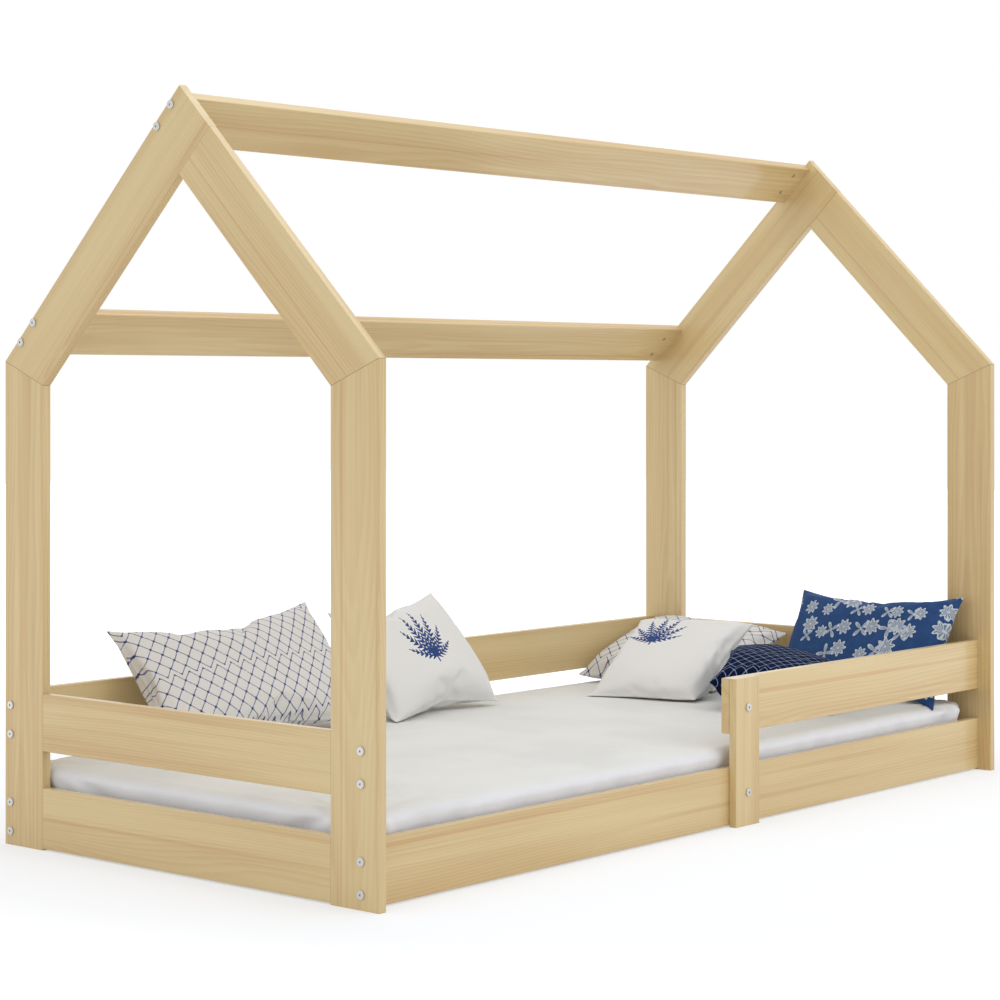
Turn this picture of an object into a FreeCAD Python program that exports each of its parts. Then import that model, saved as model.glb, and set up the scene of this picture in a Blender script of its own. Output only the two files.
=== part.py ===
"""House frame bed for a child: two gable end frames, long rails, roof boards, slats and bedding.

Millimetres. X runs along the bed from the left end to the right end, -Y is the open front side,
+Z is up. The origin is at the middle of the floor area, so the whole bed stands on Z = 0.
"""
import FreeCAD, Part
import math
import os
import Sketcher
from FreeCAD import Placement, Rotation, Vector

# Driving sizes: name and millimetres, degrees or a plain count.
SIZES = [
    # overall frame
    ("clear_length", 2000.0),  # between the two gable frames
    ("outer_width", 980.0),  # over the posts
    ("ridge_height", 1411.0),  # floor to the outer peak
    ("board", 18.0),  # thickness of every planed board
    ("post_width", 112.0),
    ("rafter_width", 112.0),
    ("edge_round", 2.0),  # rounding of the boards' long edges
    # rails
    ("floor_gap", 3.0),  # lower rails stay this far above the floor
    ("lower_rail_width", 114.0),
    ("upper_rail_bottom", 186.0),
    ("upper_rail_width", 108.0),
    ("guard_bottom", 184.0),
    ("guard_width", 110.0),
    ("front_setback", 32.0),  # front rails sit behind the posts' front edges
    ("back_setback", 9.0),  # back rails sit inside the posts' back edges
    ("guard_start", 24.0),  # the guard's free end, right of the bed's middle
    ("support_width", 80.0),
    # roof boards, measured down the back slope from the peak
    ("roof_board_width", 108.0),
    ("ridge_board_start", 14.0),
    ("eaves_board_gap", 35.5),  # from the eaves corner up to the eaves board
    # connecting bolts and their barrel nuts
    ("bolt_pitch", 55.0),
    ("roof_bolt_pitch", 52.0),
    ("upper_bolt_drop", 1.5),  # pairs sit this far from their board's centre line
    ("lower_bolt_drop", 6.0),
    ("ridge_bolt_rise", 3.2),
    ("eaves_bolt_drop", 4.8),
    ("bolt_radius", 3.0),
    ("bolt_clearance", 0.25),
    ("bolt_tip", 9.0),  # the bolt runs on past the nut's axis
    ("bolt_tip_room", 4.0),
    ("head_radius", 8.0),
    ("head_height", 3.5),
    ("head_chamfer", 0.8),
    ("socket_flats", 4.0),  # hexagon key size
    ("socket_depth", 2.4),
    ("nut_inset", 45.0),  # barrel nut's axis from the board's end
    ("nut_radius", 5.0),
    ("nut_length", 13.0),
    ("nut_clearance", 0.15),
    ("nut_skin", 2.5),  # wood left under the blind nut hole
    ("thread_clearance", 0.05),
    # sleeve nuts inside the guard support's bolts and the spare guard holes
    ("sleeve_radius", 4.5),
    ("sleeve_clearance", 0.2),
    ("sleeve_flange_radius", 8.0),
    ("sleeve_flange", 2.5),
    ("sleeve_depth", 14.0),
    ("through_bolt_tip", 9.0),  # engagement of the through bolts in their sleeves
    ("support_bolt_drop", 4.0),
    ("support_bolt_rise", 6.0),
    # dowels of the end frames
    ("dowel_radius", 4.0),
    ("dowel_length", 40.0),
    ("dowel_clearance", 0.1),
    ("dowel_end_room", 1.0),
    ("dowel_spread", 56.0),  # between the two dowels of a joint
    # slatted base
    ("slat_count", 13.0),
    ("slat_width", 70.0),
    ("slat_thickness", 18.0),
    ("slat_top", 56.0),
    ("slat_end_gap", 2.0),
    ("slat_first", 55.0),  # first slat's middle from the gable frame
    ("bearer_depth", 30.0),
    ("bearer_height", 24.0),
    ("bearer_end_gap", 8.0),
    ("tape_width", 25.0),
    ("tape_thickness", 1.0),
    ("tape_inset", 12.0),  # from the bearer's inner face
    ("screw_radius", 2.0),
    ("screw_head_radius", 4.0),
    ("screw_head_height", 3.0),
    ("screw_clearance", 0.1),
    ("screw_grip", 12.0),  # length held in the second piece
    ("bearer_screw_count", 6.0),
    ("bearer_screw_inset", 100.0),
    ("slat_screw_inset", 15.0),  # from the bearer's inner face
    # mattress in its fitted sheet
    ("mattress_left_gap", 9.5),
    ("mattress_right_gap", 25.5),
    ("mattress_side_gap", 3.5),
    ("mattress_thickness", 100.0),
    ("mattress_crown", 6.0),
    ("mattress_crown_reach", 70.0),  # from the round edge to the full crown
    ("mattress_corner", 34.0),
    ("mattress_edge", 20.0),  # rounding of the top and bottom edges
    ("mattress_drawn_in", 5.0),  # the side panel's middle lies inside its piping
    ("soft_clearance", 0.3),  # soft pieces stay this clear of what carries them
    # pillows: flat width, height and plumpness, how far the sides pull in between the corners,
    # then where the middle lies, from the right gable frame and from the back rail
    # the pillow at the left of the back rail
    ("lattice_pillow_left_width", 550.0),
    ("lattice_pillow_left_height", 306.0),
    ("lattice_pillow_left_thickness", 100.0),
    ("lattice_pillow_left_drawn_in", 24.0),
    ("lattice_pillow_left_from_right", 1497.0),
    ("lattice_pillow_left_from_back", 91.0),
    # the pillow at the middle of the back rail
    ("sprig_pillow_left_width", 370.0),
    ("sprig_pillow_left_height", 296.0),
    ("sprig_pillow_left_thickness", 100.0),
    ("sprig_pillow_left_drawn_in", 16.0),
    ("sprig_pillow_left_from_right", 992.0),
    ("sprig_pillow_left_from_back", 87.0),
    # the pillow that stands in the front right corner, between the guard and its neighbours
    ("leaf_pillow_right_height", 268.0),
    ("leaf_pillow_right_thickness", 80.0),
    ("leaf_pillow_right_drawn_in", 22.0),
    ("leaf_pillow_right_from_right", 86.0),
    ("leaf_pillow_right_front_gap", 1.0),  # its seam stands this far behind the guard
    ("leaf_pillow_right_back_room", 452.0),  # left free for the pillows beside it
    # the wide pillow that lies in the back right corner
    ("lattice_pillow_right_width", 409.0),
    ("lattice_pillow_right_height", 326.0),
    ("lattice_pillow_right_thickness", 94.0),
    ("lattice_pillow_right_drawn_in", 12.0),
    ("lattice_pillow_right_from_right", 164.0),
    ("lattice_pillow_right_from_back", 210.5),
    # the pillow that leans over the wide one's lower edge
    ("sprig_pillow_right_width", 298.0),
    ("sprig_pillow_right_height", 336.0),
    ("sprig_pillow_right_thickness", 76.0),
    ("sprig_pillow_right_drawn_in", 14.0),
    ("sprig_pillow_right_from_right", 379.4),
    ("sprig_pillow_right_from_back", 332.7),
    # the small pillow that lies in front of both
    ("navy_pillow_right_width", 281.0),
    ("navy_pillow_right_height", 248.0),
    ("navy_pillow_right_thickness", 110.0),
    ("navy_pillow_right_drawn_in", 12.0),
    ("navy_pillow_right_from_right", 411.2),
    ("navy_pillow_right_from_back", 660.8),
]

# How each pillow is turned, in degrees: about the upright, tilted up about its own width, rolled
# about its own height. Each is then let down onto what carries it.
PILLOW_TURNS = {
    "lattice_pillow_left": (2.5, 49.5, -3.5),
    "sprig_pillow_left": (9.0, 51.0, -4.5),
    "leaf_pillow_right": (-90.0, 58.4, -2.0),
    "lattice_pillow_right": (-91.2, 19.2, 1.8),
    "sprig_pillow_right": (-78.2, 26.4, -0.9),
    "navy_pillow_right": (-66.1, 10.6, 10.1),
}

GABLE_TURN = 45.0  # the rafters meet at a right angle, so each slope falls at 45 degrees
UPRIGHT_TURN = 90.0
SIXTH_TURN = 60.0
HALF_TURN = 180.0
CROWN_STEPS = ((0.3, 0.5), (0.6, 0.87), (1.0, 1.0))  # mattress crown: share inwards, share of the rise
PILLOW_LEVELS = (-0.98, -0.92, -0.8, -0.62, -0.4, -0.18, 0.0, 0.18, 0.4, 0.62, 0.8, 0.92, 0.98)
PILLOW_PLUMP = 1.5  # exponent of the crown's fall towards the seam
PILLOW_ROUNDING = 0.15  # how round the crown's level lines are, as a share of their side
PILLOW_MESH = 0.4  # fineness of the points that find where a pillow comes to rest

doc = FreeCAD.newDocument("house_frame_bed")
sheet = doc.addObject("Spreadsheet::Sheet", "Sizes")
nodes = []


def fill_sheet():
    """Write every driving size into the sheet as a plain number with its name as alias."""
    for row, (alias, number) in enumerate(SIZES, start=1):
        sheet.set(f"A{row}", alias)
        sheet.set(f"B{row}", str(number))
        sheet.setAlias(f"B{row}", alias)
    doc.recompute()


def value(expression):
    """Work out an expression of the sheet's sizes as a plain number."""
    return float(sheet.evalExpression(expression))


# Lengths that follow from the driving sizes, as expressions.
HALF_WIDTH = "(Sizes.outer_width / 2)"
END_INSIDE = "(Sizes.clear_length / 2)"
END_OUTSIDE = "(Sizes.clear_length / 2 + Sizes.board)"
POST_INSIDE = f"({HALF_WIDTH} - Sizes.post_width)"
EAVES_HEIGHT = f"(Sizes.ridge_height - {HALF_WIDTH})"
INNER_EAVES_HEIGHT = f"(Sizes.ridge_height - {POST_INSIDE} - Sizes.rafter_width * sqrt(2))"
SLOPE_OUTER = f"({HALF_WIDTH} * sqrt(2))"
SLOPE_INNER = f"({POST_INSIDE} * sqrt(2) + Sizes.rafter_width)"
BACK_RAIL_OUTER = f"({HALF_WIDTH} - Sizes.back_setback)"
BACK_RAIL_INNER = f"({BACK_RAIL_OUTER} - Sizes.board)"
FRONT_RAIL_OUTER = f"({HALF_WIDTH} - Sizes.front_setback)"
FRONT_RAIL_INNER = f"({FRONT_RAIL_OUTER} - Sizes.board)"
LOWER_CENTRE = "(Sizes.floor_gap + Sizes.lower_rail_width / 2)"
UPPER_CENTRE = "(Sizes.upper_rail_bottom + Sizes.upper_rail_width / 2)"
GUARD_CENTRE = "(Sizes.guard_bottom + Sizes.guard_width / 2)"
GUARD_TOP = "(Sizes.guard_bottom + Sizes.guard_width)"
LOWER_BOLTS = f"({LOWER_CENTRE} - Sizes.lower_bolt_drop)"
UPPER_BOLTS = f"({UPPER_CENTRE} - Sizes.upper_bolt_drop)"
RIDGE_BOLTS = "(Sizes.ridge_board_start + Sizes.roof_board_width / 2 - Sizes.ridge_bolt_rise)"
EAVES_BOARD_START = f"({SLOPE_OUTER} - Sizes.eaves_board_gap - Sizes.roof_board_width)"
EAVES_BOLTS = f"({EAVES_BOARD_START} + Sizes.roof_board_width / 2 + Sizes.eaves_bolt_drop)"
BACK_BOLT_INSET = "(Sizes.back_setback + Sizes.board / 2)"
FRONT_BOLT_INSET = "(Sizes.front_setback + Sizes.board / 2)"
SUPPORT_CENTRE = "(Sizes.guard_start + Sizes.support_width / 2)"
SUPPORT_UPPER_BOLT = f"({GUARD_CENTRE} - Sizes.support_bolt_drop)"
SUPPORT_LOWER_BOLT = f"({LOWER_CENTRE} + Sizes.support_bolt_rise)"
BOLT_HOLE = "(Sizes.bolt_radius + Sizes.bolt_clearance)"
NUT_HOLE = "(Sizes.nut_radius + Sizes.nut_clearance)"
SLEEVE_HOLE = "(Sizes.sleeve_radius + Sizes.sleeve_clearance)"
DOWEL_HOLE = "(Sizes.dowel_radius + Sizes.dowel_clearance)"
DOWEL_DEPTH = "(Sizes.dowel_length / 2 + Sizes.dowel_end_room)"
BOLT_DEPTH = "(Sizes.nut_inset + Sizes.bolt_tip + Sizes.bolt_tip_room)"
NUT_DEPTH = "(Sizes.board - Sizes.nut_skin)"
CLEAR_WIDTH = f"({BACK_RAIL_INNER} + {FRONT_RAIL_INNER})"
MATTRESS_LENGTH = "(Sizes.clear_length - Sizes.mattress_left_gap - Sizes.mattress_right_gap)"
MATTRESS_MIDDLE = "((Sizes.mattress_left_gap - Sizes.mattress_right_gap) / 2)"
MATTRESS_TOP = "(Sizes.slat_top + Sizes.mattress_thickness + Sizes.mattress_crown)"
BEARER_TOP = "(Sizes.slat_top - Sizes.slat_thickness)"


def bind(item, properties):
    """Bind each named property of an object to its expression."""
    for name, expression in properties.items():
        item.setExpression(name, expression)


def place(item, spin, tilt, at):
    """Turn an object about Z by spin after a tilt about X, and bind its base point."""
    turn = Rotation(Vector(0, 0, 1), spin).multiply(Rotation(Vector(1, 0, 0), tilt))
    item.Placement = Placement(Vector(), turn)
    bind(item, {f"Placement.Base.{axis}": text for axis, text in zip("xyz", at)})


def outline(body, plane_role, corners):
    """Sketch a closed polygon whose corners are pairs of expressions, all in one quadrant."""
    sketch = body.newObject("Sketcher::SketchObject", f"{body.Name}_outline")
    plane = [item for item in body.Origin.OriginFeatures if item.Role == plane_role][0]
    sketch.AttachmentSupport = [(plane, "")]
    sketch.MapMode = "FlatFace"
    points = [(value(across), value(along)) for across, along in corners]
    for index, point in enumerate(points):
        following = points[(index + 1) % len(points)]
        sketch.addGeometry(Part.LineSegment(Vector(*point, 0), Vector(*following, 0)), False)
    for index in range(len(points)):
        sketch.addConstraint(Sketcher.Constraint("Coincident", index, 2, (index + 1) % len(points), 1))
    for index, (point, texts) in enumerate(zip(points, corners)):
        for kind, number, text in zip(("DistanceX", "DistanceY"), point, texts):
            mark = sketch.addConstraint(Sketcher.Constraint(kind, -1, 1, index, 1, number))
            sketch.setExpression(f"Constraints[{mark}]", text)
    return sketch


def bore(body, at, direction, radius, depth):
    """Drill a round hole of the body's own frame from a point along a direction."""
    drill = body.newObject("PartDesign::SubtractiveCylinder", f"{body.Name}_bore")
    drill.Placement = Placement(Vector(), Rotation(Vector(0, 0, 1), Vector(*direction)))
    bind(drill, {f"Placement.Base.{axis}": text for axis, text in zip("xyz", at)})
    bind(drill, {"Radius": radius, "Height": depth})


def edges_along(feature, direction, wanted):
    """Names of the straight edges that run along a direction and whose middle is wanted."""
    found = []
    for index, edge in enumerate(feature.Shape.Edges, start=1):
        if edge.Curve.TypeId != "Part::GeomLine":
            continue
        if edge.tangentAt(edge.FirstParameter).cross(direction).Length < 1e-6 and wanted(edge.CenterOfMass):
            found.append(f"Edge{index}")
    return found


def round_edges(body, feature, direction, wanted=lambda middle: True):
    """Round the wanted long edges of a board."""
    fillet = body.newObject("PartDesign::Fillet", f"{body.Name}_rounding")
    fillet.Base = (feature, edges_along(feature, direction, wanted))
    fillet.setExpression("Radius", "Sizes.edge_round")


def flat_board(label, corners, direction=Vector(0, 1, 0), wanted=lambda middle: True):
    """An end frame board: an outline in its own Y-Z plane, one board thick along its own X."""
    body = doc.addObject("PartDesign::Body", label)
    sketch = outline(body, "YZ_Plane", corners)
    pad = body.newObject("PartDesign::Pad", f"{label}_pad")
    pad.Profile = sketch
    pad.setExpression("Length", "Sizes.board")
    doc.recompute()
    round_edges(body, pad, direction, wanted)
    nodes.append(body)
    return body


def pair(centre, pitch):
    """The two positions of a pair of holes around a centre."""
    return f"{centre} - {pitch} / 2", f"{centre} + {pitch} / 2"


def end_place(side, front, across, up, tilt=0.0):
    """Where a board of the left or right end frame stands; front boards are turned by half a turn."""
    left_face = f"-{END_OUTSIDE}" if side == "left" else END_INSIDE
    if front:
        return HALF_TURN, tilt, (f"{left_face} + Sizes.board", f"-({across})", up)
    return 0.0, tilt, (left_face, across, up)


def make_post(side, front):
    """A post: square at the floor, mitred under its rafter, drilled for bolts and dowels."""
    label = f"{side}_{'front' if front else 'back'}_post"
    corners = [
        ("0", "0"),
        ("Sizes.post_width", "0"),
        ("Sizes.post_width", EAVES_HEIGHT),
        ("0", INNER_EAVES_HEIGHT),
    ]
    width = value("Sizes.post_width")
    post = flat_board(label, corners, Vector(0, 0, 1), lambda middle: middle.y > width / 2)
    inset = FRONT_BOLT_INSET if front else BACK_BOLT_INSET
    across = f"Sizes.post_width - {inset}"
    for height in pair(LOWER_BOLTS, "Sizes.bolt_pitch") + pair(UPPER_BOLTS, "Sizes.bolt_pitch"):
        spare = side == "left" and front and height in pair(UPPER_BOLTS, "Sizes.bolt_pitch")
        bore(post, ("0", across, height), (1, 0, 0), SLEEVE_HOLE if spare else BOLT_HOLE, "Sizes.board")
    for centre in (LOWER_CENTRE, UPPER_CENTRE):
        for height in pair(centre, "Sizes.dowel_spread"):
            bore(post, ("Sizes.board / 2", "0", height), (0, 1, 0), DOWEL_HOLE, DOWEL_DEPTH)
    for step in pair("0", "Sizes.dowel_spread"):
        bore_mitre(post, "Sizes.post_width / 2", f"({EAVES_HEIGHT} + {INNER_EAVES_HEIGHT}) / 2", step, -1)
    place(post, *end_place(side, front, POST_INSIDE, "0"))


def mitre_rise():
    """Rise of the eaves mitre over the post's width, in the post's own frame."""
    return value(f"{EAVES_HEIGHT} - {INNER_EAVES_HEIGHT}") / value("Sizes.post_width")


def bore_mitre(post, across, height, step, way):
    """A dowel hole square to the eaves mitre, a step along the mitre from its middle."""
    slant = f"sqrt(Sizes.post_width ^ 2 + ({EAVES_HEIGHT} - {INNER_EAVES_HEIGHT}) ^ 2)"
    at = (
        "Sizes.board / 2",
        f"{across} + ({step}) * Sizes.post_width / {slant}",
        f"{height} + ({step}) * ({EAVES_HEIGHT} - {INNER_EAVES_HEIGHT}) / {slant}",
    )
    rise = mitre_rise()
    bore(post, at, (0, -way * rise, way), DOWEL_HOLE, DOWEL_DEPTH)


def make_rafter(side, front):
    """A rafter: the back one runs up to the peak, the front one butts square against it."""
    label = f"{side}_{'front' if front else 'back'}_rafter"
    start = "Sizes.rafter_width" if front else "0"
    corners = [
        ("0", "0"),
        (f"{SLOPE_INNER} - {start}", "0"),
        (f"{SLOPE_OUTER} - {start}", "Sizes.rafter_width"),
        ("0", "Sizes.rafter_width"),
    ]
    width = value("Sizes.rafter_width")
    rafter = flat_board(label, corners, Vector(0, 1, 0), lambda middle: middle.z > width / 2)
    if front:
        for height in pair("Sizes.rafter_width / 2", "Sizes.dowel_spread"):
            bore(rafter, ("Sizes.board / 2", "0", height), (0, 1, 0), DOWEL_HOLE, DOWEL_DEPTH)
    else:
        for centre in (RIDGE_BOLTS, EAVES_BOLTS):
            for along in pair(centre, "Sizes.roof_bolt_pitch"):
                across = "Sizes.rafter_width - Sizes.board / 2"
                bore(rafter, ("0", along, across), (1, 0, 0), BOLT_HOLE, "Sizes.board")
        for along in pair("Sizes.rafter_width / 2", "Sizes.dowel_spread"):
            bore(rafter, ("Sizes.board / 2", along, "0"), (0, 0, 1), DOWEL_HOLE, DOWEL_DEPTH)
    slope = f"({SLOPE_OUTER} - {SLOPE_INNER})"
    slant = f"sqrt(Sizes.rafter_width ^ 2 + {slope} ^ 2)"
    ratio = value(slope) / value("Sizes.rafter_width")
    for step in pair("0", "Sizes.dowel_spread"):
        at = (
            "Sizes.board / 2",
            f"({SLOPE_OUTER} + {SLOPE_INNER}) / 2 - {start} + ({step}) * {slope} / {slant}",
            f"Sizes.rafter_width / 2 + ({step}) * Sizes.rafter_width / {slant}",
        )
        bore(rafter, at, (0, -1, ratio), DOWEL_HOLE, DOWEL_DEPTH)
    across = f"({start} - Sizes.rafter_width) / sqrt(2)"
    up = f"Sizes.ridge_height - ({start} + Sizes.rafter_width) / sqrt(2)"
    place(rafter, *end_place(side, front, across, up, -GABLE_TURN))


def make_end_rail(side, level, bottom, width):
    """A rail between the posts of an end frame, flush with their faces and doweled into them."""
    corners = [("0", "0"), (f"2 * {POST_INSIDE}", "0"), (f"2 * {POST_INSIDE}", width), ("0", width)]
    rail = flat_board(f"{side}_{level}_end_rail", corners)
    for height in pair(f"{width} / 2", "Sizes.dowel_spread"):
        bore(rail, ("Sizes.board / 2", "0", height), (0, 1, 0), DOWEL_HOLE, DOWEL_DEPTH)
        far_end = ("Sizes.board / 2", f"2 * {POST_INSIDE}", height)
        bore(rail, far_end, (0, -1, 0), DOWEL_HOLE, DOWEL_DEPTH)
    place(rail, *end_place(side, False, f"-{POST_INSIDE}", bottom))


def long_board(label, width, length, nut_face):
    """A board along its own X, as wide as its own Y and one board thick along its own Z."""
    body = doc.addObject("PartDesign::Body", label)
    sketch = outline(body, "YZ_Plane", [("0", "0"), (width, "0"), (width, "Sizes.board"), ("0", "Sizes.board")])
    pad = body.newObject("PartDesign::Pad", f"{label}_pad")
    pad.Profile = sketch
    pad.setExpression("Length", length)
    doc.recompute()
    round_edges(body, pad, Vector(1, 0, 0))
    body.addProperty("App::PropertyBool", "NutsFromTop")
    body.NutsFromTop = nut_face == "top"
    nodes.append(body)
    return body


def bolt_end(board, length, row, at_start):
    """Drill one end of a long board for a bolt and its barrel nut."""
    direction = (1, 0, 0) if at_start else (-1, 0, 0)
    end = "0" if at_start else length
    inset = "Sizes.nut_inset" if at_start else f"{length} - Sizes.nut_inset"
    bore(board, (end, row, "Sizes.board / 2"), direction, BOLT_HOLE, BOLT_DEPTH)
    if board.NutsFromTop:
        bore(board, (inset, row, "Sizes.board"), (0, 0, -1), NUT_HOLE, NUT_DEPTH)
    else:
        bore(board, (inset, row, "0"), (0, 0, 1), NUT_HOLE, NUT_DEPTH)


def make_rails():
    """The back rails, the front rail and the guard, each bolted to both gables or to one."""
    upper_rows = pair(f"{UPPER_BOLTS} - Sizes.upper_rail_bottom", "Sizes.bolt_pitch")
    lower_rows = pair(f"{LOWER_BOLTS} - Sizes.floor_gap", "Sizes.bolt_pitch")
    guard_rows = pair(f"{UPPER_BOLTS} - Sizes.guard_bottom", "Sizes.bolt_pitch")
    length = "Sizes.clear_length"
    back_upper = long_board("back_upper_rail", "Sizes.upper_rail_width", length, "top")
    back_lower = long_board("back_lower_rail", "Sizes.lower_rail_width", length, "top")
    front_lower = long_board("front_lower_rail", "Sizes.lower_rail_width", length, "bottom")
    guard_length = f"({END_INSIDE} - Sizes.guard_start)"
    guard = long_board("guard_rail", "Sizes.guard_width", guard_length, "bottom")
    for board, rows in ((back_upper, upper_rows), (back_lower, lower_rows), (front_lower, lower_rows)):
        for row in rows:
            bolt_end(board, length, row, True)
            bolt_end(board, length, row, False)
    for row in guard_rows:
        bolt_end(guard, guard_length, row, False)
    guard_hole = f"{SUPPORT_UPPER_BOLT} - Sizes.guard_bottom"
    rail_hole = f"{SUPPORT_LOWER_BOLT} - Sizes.floor_gap"
    bore(guard, (f"{SUPPORT_CENTRE} - Sizes.guard_start", guard_hole, "0"), (0, 0, 1), SLEEVE_HOLE, "Sizes.board")
    bore(front_lower, (f"{SUPPORT_CENTRE} + {END_INSIDE}", rail_hole, "0"), (0, 0, 1), SLEEVE_HOLE, "Sizes.board")
    for board, bottom, start, face in (
        (back_upper, "Sizes.upper_rail_bottom", f"-{END_INSIDE}", BACK_RAIL_OUTER),
        (back_lower, "Sizes.floor_gap", f"-{END_INSIDE}", BACK_RAIL_OUTER),
        (front_lower, "Sizes.floor_gap", f"-{END_INSIDE}", f"-{FRONT_RAIL_INNER}"),
        (guard, "Sizes.guard_bottom", "Sizes.guard_start", f"-{FRONT_RAIL_INNER}"),
    ):
        place(board, 0.0, UPRIGHT_TURN, (start, face, bottom))


def make_roof_boards():
    """The ridge board and the eaves board, both let in flush with the back slope's outer face."""
    for label, start, bolts in (
        ("ridge_board", "Sizes.ridge_board_start", RIDGE_BOLTS),
        ("eaves_board", EAVES_BOARD_START, EAVES_BOLTS),
    ):
        board = long_board(label, "Sizes.roof_board_width", "Sizes.clear_length", "bottom")
        for row in pair(f"{bolts} - {start}", "Sizes.roof_bolt_pitch"):
            bolt_end(board, "Sizes.clear_length", row, True)
            bolt_end(board, "Sizes.clear_length", row, False)
        across = f"({start} - Sizes.board) / sqrt(2)"
        up = f"Sizes.ridge_height - ({start} + Sizes.board) / sqrt(2)"
        place(board, 0.0, -GABLE_TURN, (f"-{END_INSIDE}", across, up))


def make_guard_support():
    """The upright that carries the guard's free end, bolted through guard and front rail."""
    body = doc.addObject("PartDesign::Body", "guard_support")
    corners = [("0", "0"), ("Sizes.support_width", "0"), ("Sizes.support_width", GUARD_TOP), ("0", GUARD_TOP)]
    sketch = outline(body, "XZ_Plane", corners)
    pad = body.newObject("PartDesign::Pad", "guard_support_pad")
    pad.Profile = sketch
    pad.setExpression("Length", "Sizes.board")
    doc.recompute()
    round_edges(body, pad, Vector(0, 0, 1))
    for height in (SUPPORT_UPPER_BOLT, SUPPORT_LOWER_BOLT):
        bore(body, ("Sizes.support_width / 2", "0", height), (0, -1, 0), BOLT_HOLE, "Sizes.board")
    place(body, 0.0, 0.0, ("Sizes.guard_start", f"-{FRONT_RAIL_OUTER}", "0"))
    nodes.append(body)


def slat_middle(index):
    """Where along the bed the middle of a slat lies."""
    run = f"(Sizes.clear_length - 2 * Sizes.slat_first) / (Sizes.slat_count - 1)"
    return f"(-{END_INSIDE} + Sizes.slat_first + {index} * {run})"


def make_box(label, length, width, height, at):
    """A plain squared piece from its near lower left corner."""
    box = doc.addObject("Part::Box", label)
    bind(box, {"Length": length, "Width": width, "Height": height})
    place(box, 0.0, 0.0, at)
    return box


def drilled_box(label, box, holes):
    """Cut round holes, each a point, a direction, a radius and a depth, from a squared piece."""
    tools = []
    for at, direction, radius, depth in holes:
        tool = doc.addObject("Part::Cylinder", f"{label}_hole")
        tool.Placement = Placement(Vector(), Rotation(Vector(0, 0, 1), Vector(*direction)))
        bind(tool, {f"Placement.Base.{axis}": text for axis, text in zip("xyz", at)})
        bind(tool, {"Radius": radius, "Height": depth})
        tools.append(tool)
    group = doc.addObject("Part::Compound", f"{label}_holes")
    group.Links = tools
    cut = doc.addObject("Part::Cut", f"{label}_cut")
    cut.Base = box
    cut.Tool = group
    cut.Label = label
    nodes.append(cut)
    return cut


def bearer_screw_places():
    """Positions along the bed of the screws that hold a bearer to its rail."""
    run = "(Sizes.clear_length - 2 * Sizes.bearer_screw_inset) / (Sizes.bearer_screw_count - 1)"
    return [
        f"(-{END_INSIDE} + Sizes.bearer_screw_inset + {index} * {run})"
        for index in range(int(value("Sizes.bearer_screw_count")))
    ]


BEARERS = (("back", BACK_RAIL_INNER, 1), ("front", FRONT_RAIL_INNER, -1))
BEARER_MIDDLE = f"({BEARER_TOP} - Sizes.bearer_height / 2)"
SCREW_HOLE = "(Sizes.screw_radius + Sizes.screw_clearance)"
SCREW_HEAD_HOLE = "(Sizes.screw_head_radius + Sizes.screw_clearance)"


def make_base():
    """Bearers on the long rails, slats across them and two tapes that keep the slats' spacing."""
    for name, face, way in BEARERS:
        inner = f"{way} * ({face} - Sizes.bearer_depth)"
        near = inner if way > 0 else f"-{face}"
        length = "Sizes.clear_length - 2 * Sizes.bearer_end_gap"
        at = (f"-{END_INSIDE} + Sizes.bearer_end_gap", near, f"{BEARER_TOP} - Sizes.bearer_height")
        bearer = make_box(f"{name}_bearer_blank", length, "Sizes.bearer_depth", "Sizes.bearer_height", at)
        holes = []
        for along in bearer_screw_places():
            holes.append(((along, inner, BEARER_MIDDLE), (0, way, 0), SCREW_HOLE, "Sizes.bearer_depth"))
            holes.append(((along, inner, BEARER_MIDDLE), (0, way, 0), SCREW_HEAD_HOLE, "Sizes.screw_head_height"))
        for along in (slat_middle(0), slat_middle("(Sizes.slat_count - 1)")):
            across = f"{way} * ({face} - Sizes.bearer_depth + Sizes.slat_screw_inset)"
            holes.append(((along, across, BEARER_TOP), (0, 0, -1), SCREW_HOLE, "Sizes.screw_grip"))
        drilled_box(f"{name}_slat_bearer", bearer, holes)
    slats = int(value("Sizes.slat_count"))
    slat_length = f"({CLEAR_WIDTH} - 2 * Sizes.slat_end_gap)"
    for index in range(slats):
        at = (
            f"{slat_middle(index)} - Sizes.slat_width / 2",
            f"-{FRONT_RAIL_INNER} + Sizes.slat_end_gap",
            BEARER_TOP,
        )
        label = f"slat_{index + 1:02d}"
        blank = make_box(f"{label}_blank", "Sizes.slat_width", slat_length, "Sizes.slat_thickness", at)
        if index in (0, slats - 1):
            holes = []
            for _, face, way in BEARERS:
                across = f"{way} * ({face} - Sizes.bearer_depth + Sizes.slat_screw_inset)"
                top = (slat_middle(index), across, "Sizes.slat_top")
                holes.append((top, (0, 0, -1), SCREW_HOLE, "Sizes.slat_thickness"))
                holes.append((top, (0, 0, -1), SCREW_HEAD_HOLE, "Sizes.screw_head_height"))
            drilled_box(label, blank, holes)
        else:
            blank.Label = label
            nodes.append(blank)
    for name, face, way in BEARERS:
        edge = f"{way} * ({face} - Sizes.bearer_depth - Sizes.tape_inset)"
        near = f"{edge} - Sizes.tape_width" if way > 0 else edge
        start = f"{slat_middle(0)} - Sizes.slat_width / 2"
        length = f"{slat_middle('(Sizes.slat_count - 1)')} - {slat_middle(0)} + Sizes.slat_width"
        at = (start, near, f"{BEARER_TOP} - Sizes.tape_thickness")
        tape = make_box(f"{name}_slat_tape", length, "Sizes.tape_width", "Sizes.tape_thickness", at)
        nodes.append(tape)


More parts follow.
